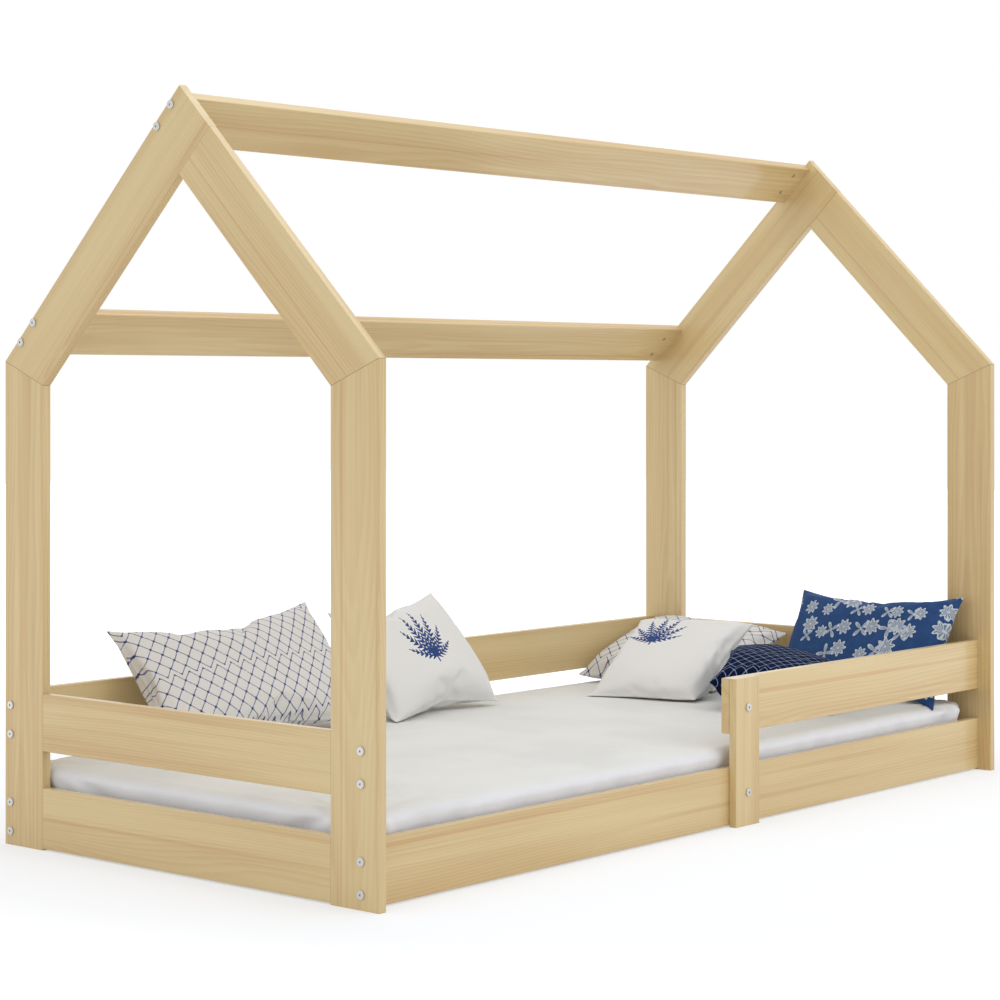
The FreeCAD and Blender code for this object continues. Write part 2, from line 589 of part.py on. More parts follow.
def bolt_shape(length):
    """A flat headed bolt along +X from the face under its head, with a hexagon socket."""
    head_radius = value("Sizes.head_radius")
    head_height = value("Sizes.head_height")
    chamfer = value("Sizes.head_chamfer")
    depth = value("Sizes.socket_depth")
    along = Vector(1, 0, 0)
    shank = Part.makeCylinder(value("Sizes.bolt_radius"), length, Vector(), along)
    head = Part.makeCylinder(head_radius, head_height - chamfer, Vector(chamfer - head_height, 0, 0), along)
    rim = Part.makeCone(head_radius - chamfer, head_radius, chamfer, Vector(-head_height, 0, 0), along)
    key_radius = value("Sizes.socket_flats") / math.sqrt(3)
    corners = [
        Vector(-head_height, key_radius * math.cos(turn), key_radius * math.sin(turn))
        for turn in (math.radians(SIXTH_TURN * side) for side in range(7))
    ]
    socket = Part.Face(Part.makePolygon(corners)).extrude(Vector(depth, 0, 0))
    return shank.fuse([head, rim]).removeSplitter().cut(socket)


def barrel_nut_shape():
    """A barrel nut about Z with a threaded cross bore along X, centred on the bore."""
    length = value("Sizes.nut_length")
    radius = value("Sizes.nut_radius")
    body = Part.makeCylinder(radius, length, Vector(0, 0, -length / 2))
    thread = value("Sizes.bolt_radius + Sizes.thread_clearance")
    return body.cut(Part.makeCylinder(thread, 4 * radius, Vector(-2 * radius, 0, 0), Vector(1, 0, 0)))


def sleeve_nut_shape():
    """A sleeve nut along -X from the face under its flange, with a blind threaded bore."""
    flange = value("Sizes.sleeve_flange")
    depth = value("Sizes.sleeve_depth")
    barrel = Part.makeCylinder(value("Sizes.sleeve_radius"), depth, Vector(-depth, 0, 0), Vector(1, 0, 0))
    plate = Part.makeCylinder(value("Sizes.sleeve_flange_radius"), flange, Vector(), Vector(1, 0, 0))
    thread = value("Sizes.bolt_radius + Sizes.thread_clearance")
    bore_tool = Part.makeCylinder(thread, depth, Vector(-depth, 0, 0), Vector(1, 0, 0))
    return barrel.fuse(plate).cut(bore_tool)


def screw_shape(length):
    """A countersunk screw along -Z, its head flush with Z = 0."""
    radius = value("Sizes.screw_radius")
    head = value("Sizes.screw_head_height")
    shank = Part.makeCylinder(radius, length, Vector(0, 0, -length))
    cone = Part.makeCone(value("Sizes.screw_head_radius"), radius, head, Vector(), Vector(0, 0, -1))
    return shank.fuse(cone)


def group(label, shapes):
    """One node that holds several identical fasteners as separate solids."""
    item = doc.addObject("Part::Feature", label)
    item.Shape = Part.makeCompound(shapes)
    nodes.append(item)


def moved(shape, at, rotation=Rotation()):
    """A copy of a shape, turned and carried to a point."""
    copy = shape.copy()
    copy.Placement = Placement(Vector(*at), rotation).multiply(copy.Placement)
    return copy


def slope_point(along, inward):
    """A point of the back slope, so far down from the peak and so far in from its outer face."""
    share = 1 / math.sqrt(2)
    return (along - inward) * share, value("Sizes.ridge_height") - (along + inward) * share


def bolt_axes(side):
    """Y, Z and barrel nut tilt of each bolt that enters a board's end at a gable."""
    back = value(f"{HALF_WIDTH} - {BACK_BOLT_INSET}")
    front = -value(f"{HALF_WIDTH} - {FRONT_BOLT_INSET}")
    heights = [value(text) for text in pair(LOWER_BOLTS, "Sizes.bolt_pitch")]
    upper = [value(text) for text in pair(UPPER_BOLTS, "Sizes.bolt_pitch")]
    axes = [(back, height, UPRIGHT_TURN) for height in heights + upper]
    axes += [(front, height, -UPRIGHT_TURN) for height in heights]
    if side == "right":
        axes += [(front, height, -UPRIGHT_TURN) for height in upper]
    for centre in (RIDGE_BOLTS, EAVES_BOLTS):
        for along in pair(centre, "Sizes.roof_bolt_pitch"):
            point = slope_point(value(along), value("Sizes.board / 2"))
            axes.append((*point, -GABLE_TURN))
    return axes


def make_fasteners():
    """Bolts, nuts, dowels and screws, each kind of one place as a group of separate solids."""
    outside = value(END_OUTSIDE)
    inside = value(END_INSIDE)
    board = value("Sizes.board")
    reach = value("Sizes.board + Sizes.nut_inset + Sizes.bolt_tip")
    bolt = bolt_shape(reach)
    nut = barrel_nut_shape()
    turned = Rotation(Vector(0, 0, 1), HALF_TURN)
    nut_shift = value("(Sizes.nut_skin - (Sizes.board - Sizes.nut_skin - Sizes.nut_length)) / 2")
    for side, face, end, turn in (("left", -outside, -inside, Rotation()), ("right", outside, inside, turned)):
        inward = value("Sizes.nut_inset") * (1 if side == "left" else -1)
        axes = bolt_axes(side)
        group(f"{side}_frame_bolts", [moved(bolt, (face, y, z), turn) for y, z, _ in axes])
        nuts = []
        for y, z, tilt in axes:
            spin = Rotation(Vector(1, 0, 0), tilt)
            toward = spin.multVec(Vector(0, 0, -nut_shift if tilt != UPRIGHT_TURN else nut_shift))
            nuts.append(moved(nut, (end + inward, y + toward.y, z + toward.z), spin))
        group(f"{side}_barrel_nuts", nuts)
    through = bolt_shape(2 * board - value("Sizes.sleeve_depth") + value("Sizes.through_bolt_tip"))
    sleeve = sleeve_nut_shape()
    centre = value(SUPPORT_CENTRE)
    outer = -value(FRONT_RAIL_OUTER) - board
    inner = -value(FRONT_RAIL_INNER)
    to_back = Rotation(Vector(0, 0, 1), UPRIGHT_TURN)
    heights = (value(SUPPORT_UPPER_BOLT), value(SUPPORT_LOWER_BOLT))
    group("guard_bolts", [moved(through, (centre, outer, height), to_back) for height in heights])
    group("guard_sleeve_nuts", [moved(sleeve, (centre, inner, height), to_back) for height in heights])
    spare_heights = [value(text) for text in pair(UPPER_BOLTS, "Sizes.bolt_pitch")]
    spare_across = -value(f"{HALF_WIDTH} - {FRONT_BOLT_INSET}")
    spare = bolt_shape(value("Sizes.through_bolt_tip"))
    group("spare_hole_bolts", [moved(spare, (-outside, spare_across, height)) for height in spare_heights])
    group("spare_hole_nuts", [moved(sleeve, (-inside, spare_across, height)) for height in spare_heights])


def make_dowels():
    """Dowels of the rail ends, the eaves mitres and the peak of each end frame."""
    length = value("Sizes.dowel_length")
    pin = Part.makeCylinder(value("Sizes.dowel_radius"), length, Vector(0, 0, -length / 2))
    spread = value("Sizes.dowel_spread") / 2
    post_inside = value(POST_INSIDE)
    half_width = value(HALF_WIDTH)
    eaves = value(EAVES_HEIGHT)
    inner_eaves = value(INNER_EAVES_HEIGHT)
    ridge = value("Sizes.ridge_height")
    rafter = value("Sizes.rafter_width")
    along_mitre = Vector(0, half_width - post_inside, eaves - inner_eaves).normalize()
    mitre_middle = Vector(0, (half_width + post_inside) / 2, (eaves + inner_eaves) / 2)
    across_mitre = Rotation(Vector(0, 0, 1), Vector(0, -along_mitre.z, along_mitre.y))
    peak_middle = Vector(0, -rafter / math.sqrt(8), ridge - 3 * rafter / math.sqrt(8))
    along_peak = Vector(0, -1, 1).normalize()
    across_peak = Rotation(Vector(0, 0, 1), Vector(0, 1, 1))
    half_turn = Rotation(Vector(0, 0, 1), HALF_TURN)
    across_rail = Rotation(Vector(0, 0, 1), Vector(0, 1, 0))
    for side in ("left", "right"):
        middle = value(f"{END_INSIDE} + Sizes.board / 2") * (-1 if side == "left" else 1)
        pins = []
        for step in (-spread, spread):
            for level in (value(LOWER_CENTRE), value(UPPER_CENTRE)):
                for edge in (-post_inside, post_inside):
                    pins.append(moved(pin, (middle, edge, level + step), across_rail))
            point = mitre_middle + along_mitre * step
            pins.append(moved(pin, (middle, point.y, point.z), across_mitre))
            pins.append(moved(pin, (middle, -point.y, point.z), half_turn.multiply(across_mitre)))
            point = peak_middle + along_peak * step
            pins.append(moved(pin, (middle, point.y, point.z), across_peak))
        group(f"{side}_frame_dowels", pins)


def make_screws():
    """Screws of the bearers into their rails and of the end slats into the bearers."""
    bearer_screw = screw_shape(value("Sizes.bearer_depth"))
    slat_screw = screw_shape(value("Sizes.slat_thickness + Sizes.screw_grip - Sizes.screw_clearance"))
    bearer_screws = []
    slat_screws = []
    for _, face, way in BEARERS:
        inner = way * value(f"{face} - Sizes.bearer_depth")
        outward = Rotation(Vector(0, 0, -1), Vector(0, way, 0))
        for along in bearer_screw_places():
            bearer_screws.append(moved(bearer_screw, (value(along), inner, value(BEARER_MIDDLE)), outward))
        across = way * value(f"{face} - Sizes.bearer_depth + Sizes.slat_screw_inset")
        for along in (slat_middle(0), slat_middle("(Sizes.slat_count - 1)")):
            slat_screws.append(moved(slat_screw, (value(along), across, value("Sizes.slat_top"))))
    group("bearer_screws", bearer_screws)
    group("slat_screws", slat_screws)


def rounded_ring(length, width, corner, inset, height):
    """A rectangle with round corners, drawn in on all sides, as a closed wire at a height."""
    x_side = length / 2 - inset
    y_side = width / 2 - inset
    edges = []
    for quarter, (x_way, y_way) in enumerate(((1, 1), (-1, 1), (-1, -1), (1, -1))):
        centre = Vector(x_way * (x_side - corner), y_way * (y_side - corner), height)
        points = [
            centre + Vector(math.cos(turn), math.sin(turn), 0) * corner
            for turn in (math.radians(UPRIGHT_TURN * quarter + GABLE_TURN * step) for step in range(3))
        ]
        edges.append(points)
    wire = []
    for index, (start, middle, end) in enumerate(edges):
        wire.append(Part.Arc(start, middle, end).toShape())
        wire.append(Part.LineSegment(end, edges[(index + 1) % 4][0]).toShape())
    return Part.Wire(wire)


def make_mattress():
    """The mattress: side panels drawn in between round edges, and a softly crowned top."""
    length = value(MATTRESS_LENGTH)
    width = value(f"{CLEAR_WIDTH} - 2 * Sizes.mattress_side_gap")
    thickness = value("Sizes.mattress_thickness")
    corner = value("Sizes.mattress_corner")
    edge = value("Sizes.mattress_edge")
    crown = value("Sizes.mattress_crown")
    crown_reach = value("Sizes.mattress_crown_reach")
    drawn_in = value("Sizes.mattress_drawn_in")
    slant = edge * (1 - math.sqrt(0.5))
    levels = [(edge, 0.0), (slant, slant), (0.0, edge), (drawn_in, thickness / 2)]
    levels += [(inset, thickness - height) for inset, height in reversed(levels[:3])]
    levels += [(edge + crown_reach * inward, thickness + crown * rise) for inward, rise in CROWN_STEPS]
    rings = [rounded_ring(length, width, corner, inset, height) for inset, height in levels]
    item = doc.addObject("Part::Feature", "mattress")
    item.Shape = Part.makeLoft(rings, True, True)
    middle_x = value(MATTRESS_MIDDLE)
    middle_y = value(f"({BACK_RAIL_INNER} - {FRONT_RAIL_INNER}) / 2")
    base = value("Sizes.slat_top + Sizes.soft_clearance")
    item.Placement = Placement(Vector(middle_x, middle_y, base), Rotation())
    nodes.append(item)


def pillow_ring(width, height, thickness, drawn_in, level):
    """One level line of a pillow: four arcs, drawn in at the seam and rounder up the crown."""
    rise = abs(level)
    reach = math.sqrt(1 - rise ** PILLOW_PLUMP)
    x_side = width / 2 * reach
    y_side = height / 2 * reach
    corners = [Vector(x_side, y_side, 0), Vector(-x_side, y_side, 0)]
    corners += [Vector(-x_side, -y_side, 0), Vector(x_side, -y_side, 0)]
    lift = Vector(0, 0, level * thickness / 2)
    arcs = []
    for index, start in enumerate(corners):
        end = corners[(index + 1) % 4]
        middle = (start + end) / 2
        side = (end - start).Length
        bow = PILLOW_ROUNDING * side * rise - drawn_in * (1 - rise) ** 2
        outward = Vector(middle).normalize()
        arcs.append(Part.Arc(start + lift, middle + outward * bow + lift, end + lift).toShape())
    return Part.Wire(arcs)


def pillow_size(label, name):
    """The expression of a pillow's size; the corner pillow takes what its neighbours leave."""
    if label == "leaf_pillow_right" and name == "width":
        return f"{CLEAR_WIDTH} - Sizes.{label}_front_gap - Sizes.{label}_back_room"
    if label == "leaf_pillow_right" and name == "from_back":
        return f"(Sizes.{label}_back_room + {CLEAR_WIDTH} - Sizes.{label}_front_gap) / 2"
    return f"Sizes.{label}_{name}"


def pillow_shape(label):
    """A pillow about its own middle: a ruled loft through its level lines."""
    names = ("width", "height", "thickness", "drawn_in")
    sizes = [value(pillow_size(label, name)) for name in names]
    rings = [pillow_ring(*sizes, level) for level in PILLOW_LEVELS]
    return Part.makeLoft(rings, True, True)


def pillow_turn(label):
    """How a pillow is turned: about the upright, then tilted up, then rolled."""
    spin, tilt, roll = PILLOW_TURNS[label]
    turn = Rotation(Vector(0, 0, 1), spin).multiply(Rotation(Vector(1, 0, 0), tilt))
    return turn.multiply(Rotation(Vector(0, 1, 0), roll))


def lowest_over(points, facets, axis, face):
    """Height of the lowest place where a faceted surface crosses an upright plane."""
    heights = []
    for facet in facets:
        for start, end in zip(facet, facet[1:] + facet[:1]):
            first, second = points[start], points[end]
            if (first[axis] - face) * (second[axis] - face) < 0:
                share = (face - first[axis]) / (second[axis] - first[axis])
                heights.append(first.z + share * (second.z - first.z))
    return min(heights, default=math.inf)


def let_down(item, mattress_top):
    """Lower a pillow onto the mattress, or until it leans on the top edge of a rail."""
    clearance = value("Sizes.soft_clearance")
    points, facets = item.Shape.tessellate(PILLOW_MESH)
    drop = min(point.z for point in points) - mattress_top
    rail_top = value("Sizes.upper_rail_bottom + Sizes.upper_rail_width")
    for axis, face in ((0, value(END_INSIDE)), (1, value(BACK_RAIL_INNER))):
        drop = min(drop, lowest_over(points, facets, axis, face) - rail_top)
    item.Placement = Placement(Vector(0, 0, clearance - drop), Rotation()).multiply(item.Placement)


def make_pillows():
    """Six pillows that lie on the mattress, some leaning on a rail."""
    mattress_top = value(f"{MATTRESS_TOP} + Sizes.soft_clearance")
    for label in PILLOW_TURNS:
        item = doc.addObject("Part::Feature", label)
        item.Shape = pillow_shape(label)
        x_middle = value(f"{END_INSIDE} - {pillow_size(label, 'from_right')}")
        y_middle = value(f"{BACK_RAIL_INNER} - {pillow_size(label, 'from_back')}")
        item.Placement = Placement(Vector(x_middle, y_middle, mattress_top), pillow_turn(label))
        let_down(item, mattress_top)
        nodes.append(item)


def check_and_export():
    """Stop on anything that failed, then write one file for each piece."""
    doc.recompute()
    for item in doc.Objects:
        if "Invalid" in item.State or "Error" in item.State:
            raise RuntimeError(f"{item.Label} failed: {item.State}")
    labels = [item.Label for item in nodes]
    if len(set(labels)) != len(labels):
        raise RuntimeError("two pieces share a label")
    os.makedirs("parts", exist_ok=True)
    for item in nodes:
        if item.Shape.isNull() or not item.Shape.isValid():
            raise RuntimeError(f"{item.Label} has no valid shape")
    for item in nodes:
        item.Shape.exportStep(f"parts/{item.Label}.step")


fill_sheet()
for end_side in ("left", "right"):
    for at_front in (False, True):
        make_post(end_side, at_front)
        make_rafter(end_side, at_front)
    make_end_rail(end_side, "upper", "Sizes.upper_rail_bottom", "Sizes.upper_rail_width")
    make_end_rail(end_side, "lower", "Sizes.floor_gap", "Sizes.lower_rail_width")
make_rails()
make_roof_boards()
make_guard_support()
make_base()
make_fasteners()
make_dowels()
make_screws()
doc.recompute()
make_mattress()
make_pillows()
check_and_export()
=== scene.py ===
"""A child's house frame bed in lacquered pine, with its mattress and six pillows, in metres.

X runs along the bed, the open front is towards -Y and the floor is Z = 0.
"""
import math
import bpy
import numpy as np
from mathutils import Euler, Matrix, Vector


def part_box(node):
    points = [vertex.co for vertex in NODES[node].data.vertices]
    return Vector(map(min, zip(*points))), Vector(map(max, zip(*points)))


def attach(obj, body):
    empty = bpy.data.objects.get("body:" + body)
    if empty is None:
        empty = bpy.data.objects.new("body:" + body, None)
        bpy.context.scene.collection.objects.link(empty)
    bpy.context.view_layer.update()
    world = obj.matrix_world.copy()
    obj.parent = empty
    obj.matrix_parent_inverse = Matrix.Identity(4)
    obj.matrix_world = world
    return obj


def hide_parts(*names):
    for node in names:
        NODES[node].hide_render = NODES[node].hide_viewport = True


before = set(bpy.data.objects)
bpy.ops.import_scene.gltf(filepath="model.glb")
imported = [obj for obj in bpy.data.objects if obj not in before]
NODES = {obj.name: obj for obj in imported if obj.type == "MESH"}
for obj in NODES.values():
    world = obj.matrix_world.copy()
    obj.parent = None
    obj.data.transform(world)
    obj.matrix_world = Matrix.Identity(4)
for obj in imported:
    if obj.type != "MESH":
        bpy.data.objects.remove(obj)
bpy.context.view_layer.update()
MM = 0.001
WHITE = (1.0, 1.0, 1.0, 1.0)

# ---------------------------------------------------------------- camera, light and floor


CAMERA_PLACE = (-4.04706, -3.34466, 0.88171)
CAMERA_HEADING = math.radians(-49.4525)  # about Z, from the way that looks along +Y
CAMERA_SHIFT = -0.1184
FOCAL_LENGTH = 90.41  # in millimetres, on a sensor 36 mm wide
SENSOR_WIDTH = 36.0


def make_camera():
    """A level camera at the near left corner, with a small shift down to the bed."""
    lens = bpy.data.cameras.new("camera")
    lens.lens = FOCAL_LENGTH
    lens.sensor_width = SENSOR_WIDTH
    lens.shift_y = CAMERA_SHIFT
    camera = bpy.data.objects.new("camera", lens)
    camera.location = CAMERA_PLACE
    camera.rotation_euler = (math.radians(90.0), 0.0, CAMERA_HEADING)
    bpy.context.scene.collection.objects.link(camera)
    bpy.context.scene.camera = camera


# Each lamp's place, the point it faces, its side and its power in watts.
LAMPS = {
    "front_lamp": ((1.6, -4.2, 3.6), (0.0, 0.0, 0.4), 3.2, 47.0),
    "left_lamp": ((-7.0, 1.2, 3.6), (0.0, 0.0, 0.5), 4.0, 34.0),
    "overhead_lamp": ((0.3, 0.2, 4.6), (0.0, 0.0, 0.0), 3.6, 43.0),
}
ROOM_LIGHT = 0.74
ROOM_SEEN = 1.0  # plain white behind the bed and in what mirrors it


def soft_lamp(name, place, target, size, watts):
    """A square area lamp that faces a target."""
    data = bpy.data.lights.new(name, "AREA")
    data.size = size
    data.energy = watts
    lamp = bpy.data.objects.new(name, data)
    lamp.location = place
    lamp.rotation_euler = (Vector(target) - Vector(place)).to_track_quat("-Z", "Y").to_euler()
    bpy.context.scene.collection.objects.link(lamp)


def make_light():
    """Studio light: large lamps over the front, at the left and overhead, in an even room."""
    for name, lamp in LAMPS.items():
        soft_lamp(name, *lamp)
    world = bpy.data.worlds.new("room")
    bpy.context.scene.world = world
    world.use_nodes = True
    tree = world.node_tree
    tree.nodes.clear()
    output = tree.nodes.new("ShaderNodeOutputWorld")
    mix = tree.nodes.new("ShaderNodeMixShader")
    even = tree.nodes.new("ShaderNodeBackground")
    even.inputs["Strength"].default_value = ROOM_LIGHT
    seen = tree.nodes.new("ShaderNodeBackground")
    seen.inputs["Strength"].default_value = ROOM_SEEN
    for background in (even, seen):
        background.inputs["Color"].default_value = WHITE
    tree.links.new(seen_rays(tree), mix.inputs["Fac"])
    tree.links.new(even.outputs[0], mix.inputs[1])
    tree.links.new(seen.outputs[0], mix.inputs[2])
    tree.links.new(mix.outputs[0], output.inputs[0])


def seen_rays(tree):
    """One for rays from the camera, from a mirror and through glass, else zero."""
    path = tree.nodes.new("ShaderNodeLightPath")
    first = tree.nodes.new("ShaderNodeMath")
    first.operation = "MAXIMUM"
    second = tree.nodes.new("ShaderNodeMath")
    second.operation = "MAXIMUM"
    tree.links.new(path.outputs["Is Camera Ray"], first.inputs[0])
    tree.links.new(path.outputs["Is Glossy Ray"], first.inputs[1])
    tree.links.new(first.outputs[0], second.inputs[0])
    tree.links.new(path.outputs["Is Transmission Ray"], second.inputs[1])
    return second.outputs[0]


FLOOR_HALF = 14.0
FLOOR_BOUNCE = (0.93, 0.93, 0.93, 1.0)  # what lights the bed from below
FLOOR_SEEN = (0.485, 0.500, 0.525, 1.0)
# The glow's strength rises from the third number to the fourth between two distances from the bed's middle.
FLOOR_GLOW = {"From Min": 1.3, "From Max": 3.2, "To Min": 0.51, "To Max": 1.0}


def make_floor():
    """A wide white floor that shows only the object's soft shadow.

    To the eye it is a mid tone with a glow of its own that grows away from the bed, so the shadow
    under the boards shows and the far floor is even.
    """
    corners = [(FLOOR_HALF * x, FLOOR_HALF * y, 0.0) for x, y in ((-1, -1), (1, -1), (1, 1), (-1, 1))]
    floor = mesh_piece("floor", np.array(corners), [(0, 1, 2, 3)])
    white = Finish("white_floor")
    seen = seen_rays(white.tree)
    plain = white.node("BsdfDiffuse", {"Color": white.mix(seen, FLOOR_BOUNCE, FLOOR_SEEN)})
    distance = white.node("VectorMath", {0: white.node("TexCoord").outputs["Object"]}, operation="LENGTH")
    far = white.node("MapRange", {"Value": distance.outputs["Value"], **FLOOR_GLOW})
    strength = white.times(seen, far.outputs["Result"])
    glow = white.node("Emission", {"Color": WHITE, "Strength": strength})
    total = white.node("AddShader", {0: plain.outputs[0], 1: glow.outputs[0]})
    white.feed(white.tree.nodes["Material Output"].inputs["Surface"], total.outputs[0])
    white.tree.nodes.remove(white.shader)
    floor.data.materials.append(white.material)


# ---------------------------------------------------------------- materials


class Finish:
    """A material under construction: short names for its nodes and links."""

    def __init__(self, name):
        self.material = bpy.data.materials.new(name)
        self.material.use_nodes = True
        self.tree = self.material.node_tree
        self.shader = self.tree.nodes["Principled BSDF"]

    def node(self, kind, links=None, **settings):
        made = self.tree.nodes.new("ShaderNode" + kind)
        for key, setting in settings.items():
            setattr(made, key, setting)
        for key, source in (links or {}).items():
            self.feed(made.inputs[key], source)
        return made

    def feed(self, socket, source):
        if isinstance(source, bpy.types.NodeSocket):
            self.tree.links.new(source, socket)
        else:
            socket.default_value = source

    def give(self, socket, source):
        """Feed one of the shader's own sockets."""
        self.feed(self.shader.inputs[socket], source)

    def math(self, operation, first, second=0.0):
        return self.node("Math", {0: first, 1: second}, operation=operation).outputs[0]

    def plus(self, first, second):
        return self.math("ADD", first, second)

    def minus(self, first, second):
        return self.math("SUBTRACT", first, second)

    def times(self, first, second):
        return self.math("MULTIPLY", first, second)

    def over(self, first, second):
        return self.math("DIVIDE", first, second)

    def smooth(self, value, low, high, to_low=0.0, to_high=1.0):
        """Rises softly from to_low to to_high as the value goes from low to high."""
        step = self.node("MapRange", {"Value": value, "From Min": low, "From Max": high,
                                      "To Min": to_low, "To Max": to_high}, interpolation_type="SMOOTHSTEP")
        return step.outputs["Result"]

    def mix(self, factor, first, second, blend="MIX"):
        made = self.node("Mix", data_type="RGBA", blend_type=blend)
        self.feed(made.inputs["Factor"], factor)
        self.feed(made.inputs[6], first)
        self.feed(made.inputs[7], second)
        return made.outputs[2]

    def place(self, centre=(0.0, 0.0, 0.0), turn=(0.0, 0.0, 0.0)):
        """Object coordinates carried into a frame of their own that is centred and turned."""
        coords = self.node("TexCoord").outputs["Object"]
        mapping = self.node("Mapping", {"Vector": coords}, vector_type="TEXTURE")
        mapping.inputs["Location"].default_value = centre
        mapping.inputs["Rotation"].default_value = turn
        return mapping.outputs["Vector"]

    def stretch(self, vector, scale, shift=(0.0, 0.0, 0.0)):
        mapping = self.node("Mapping", {"Vector": vector}, vector_type="POINT")
        mapping.inputs["Scale"].default_value = scale
        mapping.inputs["Location"].default_value = shift
        return mapping.outputs["Vector"]

    def noise(self, vector, scale, detail=2.0, rough=0.5, colour=False):
        made = self.node("TexNoise", {"Vector": vector, "Scale": scale, "Detail": detail, "Roughness": rough})
        return made.outputs["Color" if colour else "Fac"]

    def grain(self, vector, scale, shift=(0.0, 0.0, 0.0), detail=2.0, rough=0.5):
        """Noise stretched along the grain."""
        return self.noise(self.stretch(vector, scale, shift), 1.0, detail, rough)

    def repeat(self, value, pitch, ahead=100.0):
        """How far a value lies from the middle of its step in a repeat, in steps; ahead keeps it positive."""
        phase = self.math("FRACT", self.plus(self.over(value, pitch), ahead))
        return self.math("ABSOLUTE", self.minus(phase, 0.5))

    def drift(self, vector, noise, width):
        """The vector pushed about by a colour noise, at most half the width either way."""
        even = self.node("VectorMath", {0: noise, 1: (0.5, 0.5, 0.5)}, operation="SUBTRACT").outputs[0]
        push = self.node("VectorMath", {0: even, 1: width}, operation="MULTIPLY").outputs[0]
        return self.node("VectorMath", {0: vector, 1: push}, operation="ADD").outputs[0]

    def bump(self, height, strength, distance, before=None):
        links = {"Height": height, "Strength": strength, "Distance": distance}
        if before is not None:
            links["Normal"] = before
        return self.node("Bump", links).outputs["Normal"]


def srgb(red, green, blue):
    """A screen colour from 0 to 255 as a linear colour."""
    parts = [level / 255 for level in (red, green, blue)]
    return tuple(p / 12.92 if p <= 0.04045 else ((p + 0.055) / 1.055) ** 2.4 for p in parts) + (1.0,)


PINE_LIGHT = srgb(222, 200, 149)
PINE_MIDDLE = srgb(212, 185, 131)
PINE_LATE = srgb(193, 152, 101)
PINE_RED = srgb(196, 142, 94)
RAW_LIGHT = srgb(226, 210, 174)
RAW_MIDDLE = srgb(214, 194, 152)
RAW_LATE = srgb(196, 166, 124)
SEAM_SHADE = srgb(120, 92, 58)
SEAM_HALF = 0.0005
SEAM_DEPTH = 0.8
LACQUER_GLOSS = 0.40
LACQUER_COAT = 0.55
LACQUER_COAT_ROUGHNESS = 0.14
LACQUER_IOR = 1.48
PLANED_GLOSS = 0.6
USUAL_HEART = (0.0, 0.085, 0.03)

# Each noise's scale along the grain and across it, per metre.
SWAY_GRAIN = (0.55, 3.0, 3.0)
RAGGED_GRAIN = (5.0, 80.0, 80.0)
FIBRE_GRAIN = (4.0, 420.0, 420.0)
FLOW_GRAIN = (0.9, 18.0, 18.0)
STREAK_GRAIN = (0.7, 70.0, 70.0)
RESIN_GRAIN = (0.16, 70.0, 70.0)
PORE_GRAIN = (40.0, 900.0, 900.0)
STREAK_SHIFT = (3.0, 1.0, 2.0)
RESIN_SHIFT = (1.0, 4.0, 7.0)
SWAY_WIDTH = (0.0, 0.09, 0.09)
SWAY_SCALE = 1.6
RING_PITCH = 0.0058
RING_RAGGED = 0.0022
RING_PEAK = 0.82  # the late wood's place in a ring
RING_STRENGTH = (0.10, 0.38)  # in calm wood and in lively wood
STREAK_STRENGTH = 0.42
RESIN_STRENGTH = 0.40
FIBRE_STRENGTH = 0.10
PORE_STRENGTH = 0.16
PINE_BUMP = (0.10, 0.0003)


